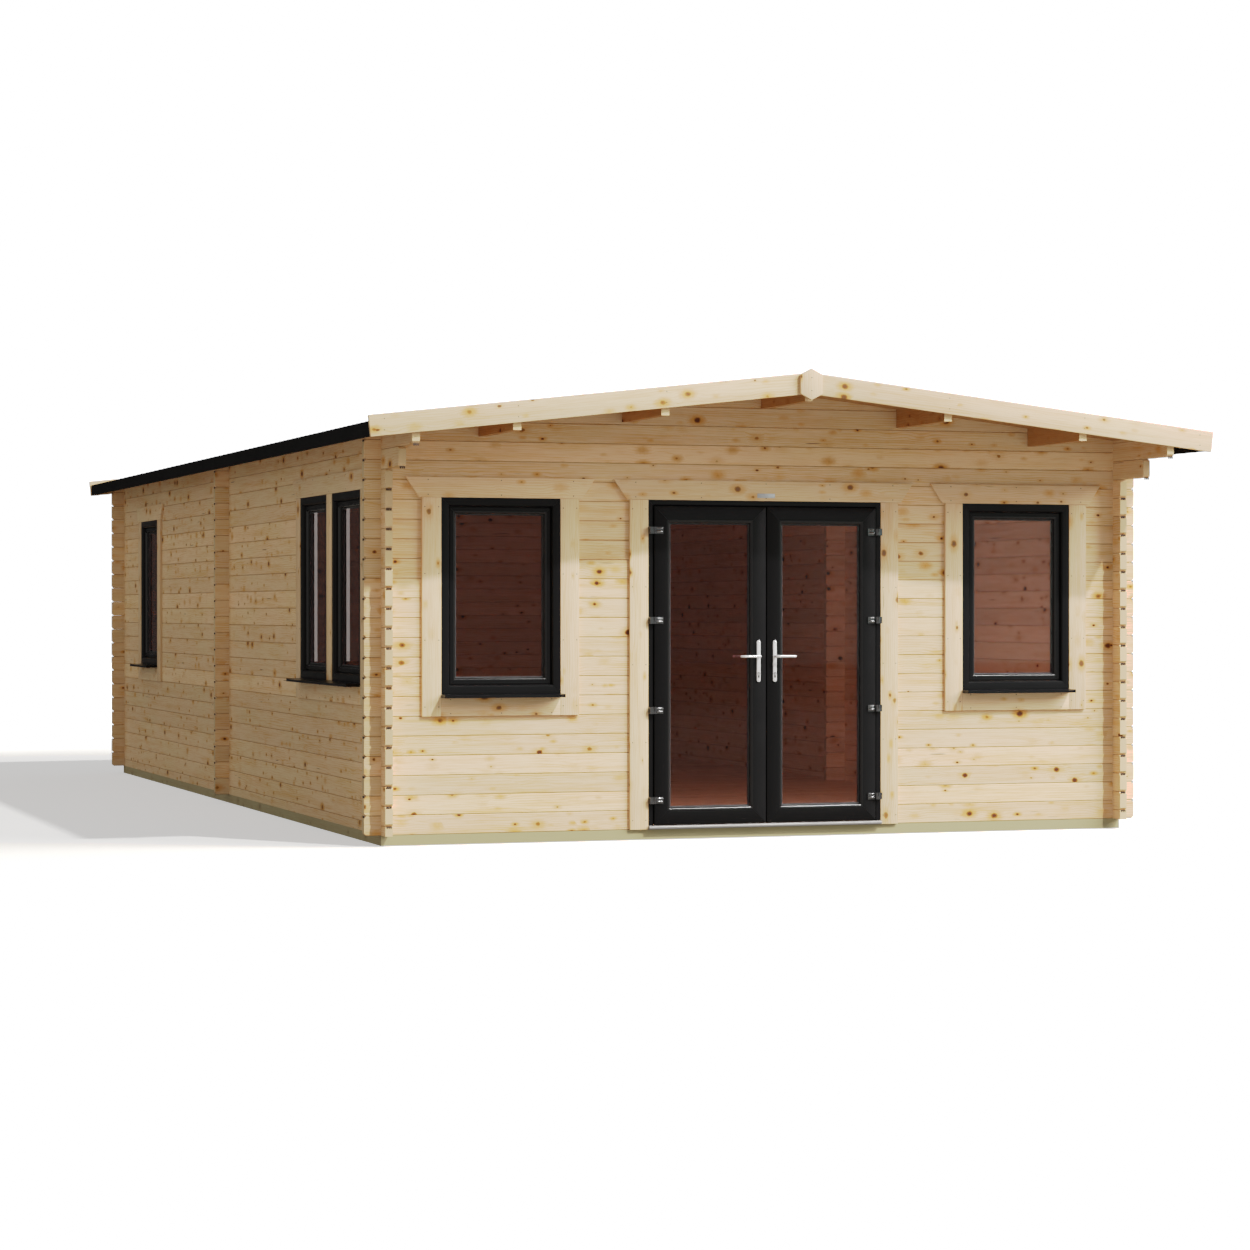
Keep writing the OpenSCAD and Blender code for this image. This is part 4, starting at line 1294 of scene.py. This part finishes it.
class CABIN_OT_fittings(CabinOperator, bpy.types.Operator):
    """Hinges, handles and their plates"""

    bl_idname = "cabin.fittings"
    bl_label = "Fittings"

    def build(self, scene):
        """The hinges' metal, and the fittings of each leaf"""
        sizes = scene.cabin_doors
        metal = worn("Hinge metal", sizes.hinge, 30.0, 500.0, 0.00008, 0.6, (0.18, 0.30),
                     Metallic=0.9)
        paint(metal, "frame_hinges", "leaf_hinges_left", "leaf_hinges_right")
        for name, way in SIDES.items():
            self.covers(sizes, name, way)
            self.plates(sizes, name)
            self.lever(name, way)

    @staticmethod
    def covers(sizes, name, way):
        """Two rounded ribs on the plate of each hinge, tapered to its end"""
        inset, sunk = 0.020, 0.006
        ribs = ((-0.0075, 0.0078), (0.0125, 0.0040))  # height from the middle, radius
        taper = ((0.0, 0.55), (0.06, 0.85), (0.20, 1.0), (0.55, 1.0), (0.78, 0.82), (0.93, 0.45),
                 (1.0, 0.10))
        mesh = bmesh.new()
        for low, high in solid_boxes("leaf_hinges_" + name):
            start = low.x + inset if way < 0 else high.x - inset
            reach = high.x - low.x - inset - 0.001
            for lift, radius in ribs:
                lathe(mesh, [(reach * along, radius * share) for along, share in taper],
                      (start, high.y - sunk, (low.z + high.z) / 2 + lift), (-way, 0, 0), 20)
        shiny = worn("Hinge ribs", sizes.rib, 30.0, 500.0, 0.00004, 0.8, (0.16, 0.26),
                     Metallic=1.0)
        piece("hinge_ribs_" + name, mesh, shiny, None, name + "_leaf", 50)

    @staticmethod
    def plates(sizes, name):
        """The back plates with eased edges, a collar, a keyhole and two screws; the keyhole's ring
        and the slots are painted shade
        """
        steel, dark = bmesh.new(), bmesh.new()
        lever_low, lever_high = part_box("handle_lever_" + name)
        middle = (lever_low.z + lever_high.z) / 2
        key, screw = middle - sizes.key_drop, sizes.screw
        for low, high in solid_boxes("handle_plates_" + name):
            out = -1 if low.y < WALL_FRONT else 1
            base, face = (high.y, low.y) if out < 0 else (low.y, high.y)
            x = (low.x + high.x) / 2
            rounded_plate(steel, x, low.z, high.z, sizes.back_plate / 2, base, face, 0.0022)
            lathe(steel, [(0, 0.0112), (0.003, 0.0112), (0.0042, 0.0104), (0.0042, 0.009)],
                  (x, face, middle), (0, out, 0), 32)
            # Painted shade: a dark ring where the recess round the lock's cylinder lies in shade,
            # under a small steel plug
            keyhole(dark, x, key, 0.0085, 0.0052, 0.0265, face, face + out * 0.0006)
            keyhole(steel, x, key, 0.0034, 0.0018, 0.0110, face, face + out * 0.0018)
            dark_bar(dark, x, key, 0.0007, 0.0026, face, out * 0.0021)
            for z in (low.z + 0.0105, high.z - 0.0105):
                lathe(steel, [(0, screw), (0.0007, screw), (0.0012, screw * 0.6)], (x, face, z),
                      (0, out, 0), 20)
                # Painted shade in each screw's slot
                dark_bar(dark, x, z, screw * 0.75, 0.0005, face, out * 0.0014)
        body = name + "_leaf"
        piece("handle_backs_" + name, steel, polished_steel(),
              "handle_plates_" + name, body)
        shadow = worn("Keyhole shadow", (0.006, 0.006, 0.007), 30.0, 300.0, 0.0001, 0.6,
                      (0.6, 0.8))
        piece("handle_slots_" + name, dark, shadow, None, body)

    @staticmethod
    def lever(name, way):
        """The levers, curved back to the door at their ends, on their spindle"""
        node = "handle_lever_" + name
        low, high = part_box(node)
        leaf_low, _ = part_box("door_leaf_" + name)
        plates = solid_boxes("handle_plates_" + name)
        first, last = plates[0][0], plates[-1][1]
        pivot = (first.x + plates[0][1].x) / 2
        z = (low.z + high.z) / 2
        reach = abs((low, high)[way > 0].x - pivot)
        grip, bend, spindle = 0.042, 0.016, 0.0055
        points = [(0, 0.001), (0, 0.010), (0, grip - bend)]
        points += [(bend * (1 - math.cos(a)), grip - bend + bend * math.sin(a))
                   for a in (math.radians(15 * k) for k in range(1, 7))]
        points += [(reach * share, grip - dip) for share, dip in
                   ((0.35, 0.0), (0.60, 0.0), (0.80, 0.0006), (0.90, 0.003), (0.955, 0.0075),
                    (0.985, 0.013), (0.988, 0.0185))]
        radii = [0.0088, 0.0086, 0.0082, 0.0080, 0.0079, 0.0078, 0.0077, 0.0076, 0.0075, 0.0070,
                 0.0067, 0.0067, 0.0068, 0.0067, 0.0064, 0.0050]
        mesh = bmesh.new()
        for plate_low, plate_high in plates:
            out = -1 if plate_low.y < leaf_low.y else 1
            face = plate_low.y if out < 0 else plate_high.y
            tube(mesh, [Vector((pivot + way * a, face + out * d, z)) for a, d in points], radii,
                 0.82, 20)
        lathe(mesh, [(0.0, spindle), (last.y - first.y, spindle)], (pivot, first.y, z), (0, 1, 0),
              16)
        piece("handle_grips_" + name, mesh, polished_steel(), node,
              name + "_lever", 50)


def rounded_plate(mesh, x, low, high, radius, base, face, ease):
    """An upright plate with round ends and an eased edge on its face, out of the XZ plane"""
    turns = [math.pi * k / 16 for k in range(17)]
    step = math.copysign(ease, face - base)
    rings = []
    for shrink, y in ((0, base), (0, face - step), (ease * 0.3, face - step * 0.3), (ease, face)):
        size = radius - shrink
        rings.append([(x + size * math.cos(t), y, high - radius + size * math.sin(t))
                      for t in turns]
                     + [(x - size * math.cos(t), y, low + radius - size * math.sin(t))
                        for t in turns])
    loft(mesh, rings)


def dark_bar(mesh, x, z, half, rise, face, height):
    """A small bar that stands on a plate's face, as a slot that isn't lit"""
    low, high = sorted((face, face + height))
    block(mesh, (x - half, low, z - rise), (x + half, high, z + rise))


def keyhole(mesh, x, z, radius, half, drop, base, face):
    """The outline of a lock's cylinder: a round with a narrower foot"""
    start = math.asin(half / radius)
    turns = [-math.pi / 2 + start + (2 * math.pi - 2 * start) * k / 20 for k in range(21)]
    foot = z - drop + half
    outline = [(x + radius * math.cos(t), z + radius * math.sin(t)) for t in turns]
    outline += [(x - half, foot)] + [(x - half * math.cos(t), foot - half * math.sin(t))
                                     for t in (math.pi * k / 8 for k in range(1, 8))]
    slab(mesh, 1, outline + [(x + half, foot)], (base, face))


class CABIN_OT_stage(CabinOperator, bpy.types.Operator):
    """Floor, light and camera"""

    bl_idname = "cabin.stage"
    bl_label = "Stage"

    def build(self, scene):
        """A wide floor just under the part, and what it is seen with"""
        sizes, reach, mesh = scene.cabin_stage, 60.0, bmesh.new()
        mesh.faces.new([mesh.verts.new((x, y, -0.001))
                        for x, y in rectangle(-reach, -reach, reach, reach)])
        floor = new_object("floor", mesh)
        floor.data.materials.append(self.floor_material(sizes))
        self.lamps(sizes)
        self.sky(scene, sizes)
        self.camera(scene, sizes)
        self.view(scene)

    @staticmethod
    def floor_material(sizes):
        """A pale matt floor, lighter to the eye than to the light that it throws back"""
        made, tree, principled = material("Pale floor", Roughness=1.0, Specular_IOR_Level=0.0,
                                          Emission_Color=(1.0, 1.0, 1.0, 1.0))
        place = coordinates(tree)
        seen = add(tree, "ShaderNodeLightPath")["Is Camera Ray"]
        pale = mix(ramp(noise(place, 0.3, 3.0), 0.3, 0.7), (0.93, 0.93, 0.93, 1),
                   (0.91, 0.91, 0.91, 1))
        thrown = mix(ramp(parts(place)[1], 5.0, 11.0),
                     rgba([sizes.bounce * c for c in (1.0, 0.92, 0.82)]), (0.01, 0.01, 0.01, 1))
        far = ramp(vector_calc("LENGTH", place, output=1), 7.0, 16.0, sizes.glow,
                   sizes.glow + 2.0)
        feed(principled, {"Base Color": mix(seen, thrown, pale), "Emission Strength": seen * far})
        return made

    @staticmethod
    def view(scene):
        """A plain view with soft highlights, as a studio picture has"""
        view = scene.view_settings
        view.view_transform = "Standard"
        view.use_curve_mapping = True
        curves = view.curve_mapping
        curves.white_level = (3.0, 3.0, 3.0)
        curves.extend = "HORIZONTAL"
        combined = curves.curves[3].points
        for place in ((0.1, 0.30), (0.175, 0.45), (0.33, 0.59), (0.5, 0.69), (0.68, 0.79),
                      (0.79, 1.0)):
            combined.new(*place)
        for point in list(combined)[-3:]:
            point.handle_type = "VECTOR"
        curves.update()

    @staticmethod
    def lamps(sizes):
        """The sun, a wide soft light from the right, and a light inside the cabin"""
        sun, fill, room = (bpy.data.lights.new(name, kind) for name, kind in
                           (("sun", "SUN"), ("fill", "AREA"), ("room", "AREA")))
        sun.energy, sun.angle, sun.color = sizes.sun, math.radians(1.8), (1.0, 0.985, 0.96)
        fill.energy, fill.size = sizes.fill, 15.0
        room.shape = "RECTANGLE"
        room.energy, room.size, room.size_y, room.color = sizes.room, 2.6, 1.4, (0.90, 1.0, 1.12)
        for lamp, place, travel in ((sun, (0, 0, 9), (-0.68, 1.0, -1.26)),
                                    (fill, (20.0, -14.7, 13.8), (-1.0, 0.60, -0.60)),
                                    (room, (0.2, -3.7, 1.15), (0.20, 1.0, -0.08))):
            thing = new_object(lamp.name, lamp)
            thing.location = place
            thing.rotation_euler = Vector(travel).to_track_quat("-Z", "Y").to_euler()

    @staticmethod
    def sky(scene, sizes):
        """The sky: white to the eye, and as light dim behind, with strips and a panel that the
        glass and the metal reflect"""
        scene.world = bpy.data.worlds.new("sky")
        scene.world.use_nodes = True
        tree = scene.world.node_tree
        tree.nodes.clear()
        seen = add(tree, "ShaderNodeLightPath")["Is Camera Ray"]
        x, y, z = parts(coordinates(tree, "Generated"))
        strength = (ramp(y, 0.6, 0.93, sizes.sky, sizes.sky * 0.08)
                    * ramp(x, -0.75, -0.35, 1.32, 1.0))
        slant = x / y
        behind = calc("GREATER_THAN", y, 0.5)
        strips = ((-0.23250, 0.0005, 0.22), (-0.23390, 0.0006, 0.75), (-0.24340, 0.0005, 0.22),
                  (-0.24470, 0.0006, 0.75), (-0.17970, 0.0004, 0.40))
        for middle, half, shine in strips:
            strip = calc("COMPARE", slant, middle, half) * shine
            strength = calc("MULTIPLY_ADD", strip, behind, strength)
        panel = (ramp(slant, -0.48, -0.38, 1.6, 0.0) * ramp(slant, -0.56, -0.52)
                 * ramp(calc("ABSOLUTE", z), 0.15, 0.25, 1.0, 0.0)
                 * calc("LESS_THAN", y, -0.5))
        shown = [add(tree, "ShaderNodeBackground", {"Color": (*tone, 1), "Strength": power})[0]
                 for tone, power in (((1.0, 0.97, 0.92), strength), ((0.62, 1.0, 0.84), panel),
                                     ((1.0, 1.0, 1.0), 3.2))]
        soft = flow("ShaderNodeAddShader", {0: shown[0], 1: shown[1]})
        both = flow("ShaderNodeMixShader", {0: seen, 1: soft, 2: shown[2]})
        feed(tree.nodes.new("ShaderNodeOutputWorld"), {0: both})

    @staticmethod
    def camera(scene, sizes):
        """The camera, before the front left corner and low"""
        data = bpy.data.cameras.new("camera")
        data.sensor_fit, data.sensor_width = "HORIZONTAL", 36.0
        data.lens, data.clip_end = sizes.lens, 300.0
        camera = new_object("camera", data)
        camera.location = (-6.876, -21.950, 1.358)
        camera.rotation_euler = [math.radians(a) for a in (89.731, 0.0, -18.775)]
        scene.camera = camera


class CABIN_PT_panel(bpy.types.Panel):
    """Lists the cabin's operators and sizes"""

    bl_idname = "CABIN_PT_panel"
    bl_label = "Log cabin"
    bl_space_type = "VIEW_3D"
    bl_region_type = "UI"
    bl_category = "Cabin"

    def draw(self, context):
        """A button for each operator and a field for each size"""
        for operator in OPERATORS:
            self.layout.operator(operator.bl_idname)
        for name in GROUPS:
            group = getattr(context.scene, name)
            for key in group.bl_rna.properties.keys():
                if key not in ("rna_type", "name"):
                    self.layout.prop(group, key)


OPERATORS = (CABIN_OT_stage, CABIN_OT_walls, CABIN_OT_base, CABIN_OT_roof, CABIN_OT_trims,
             CABIN_OT_windows, CABIN_OT_doors, CABIN_OT_fittings)


def register():
    """Adds the sizes, the operators and the panel"""
    for group in GROUPS.values():
        bpy.utils.register_class(group)
    for name, group in GROUPS.items():
        setattr(bpy.types.Scene, name, bpy.props.PointerProperty(type=group))
    for item in (*OPERATORS, CABIN_PT_panel):
        bpy.utils.register_class(item)


def unregister():
    """Takes them away again"""
    for item in (CABIN_PT_panel, *reversed(OPERATORS)):
        bpy.utils.unregister_class(item)
    for name in GROUPS:
        delattr(bpy.types.Scene, name)
    for group in reversed(GROUPS.values()):
        bpy.utils.unregister_class(group)


def main():
    """Runs every operator"""
    register()
    for operator in OPERATORS:
        getattr(bpy.ops.cabin, operator.bl_idname.split(".")[1])()


if __name__ == "__main__":
    main()
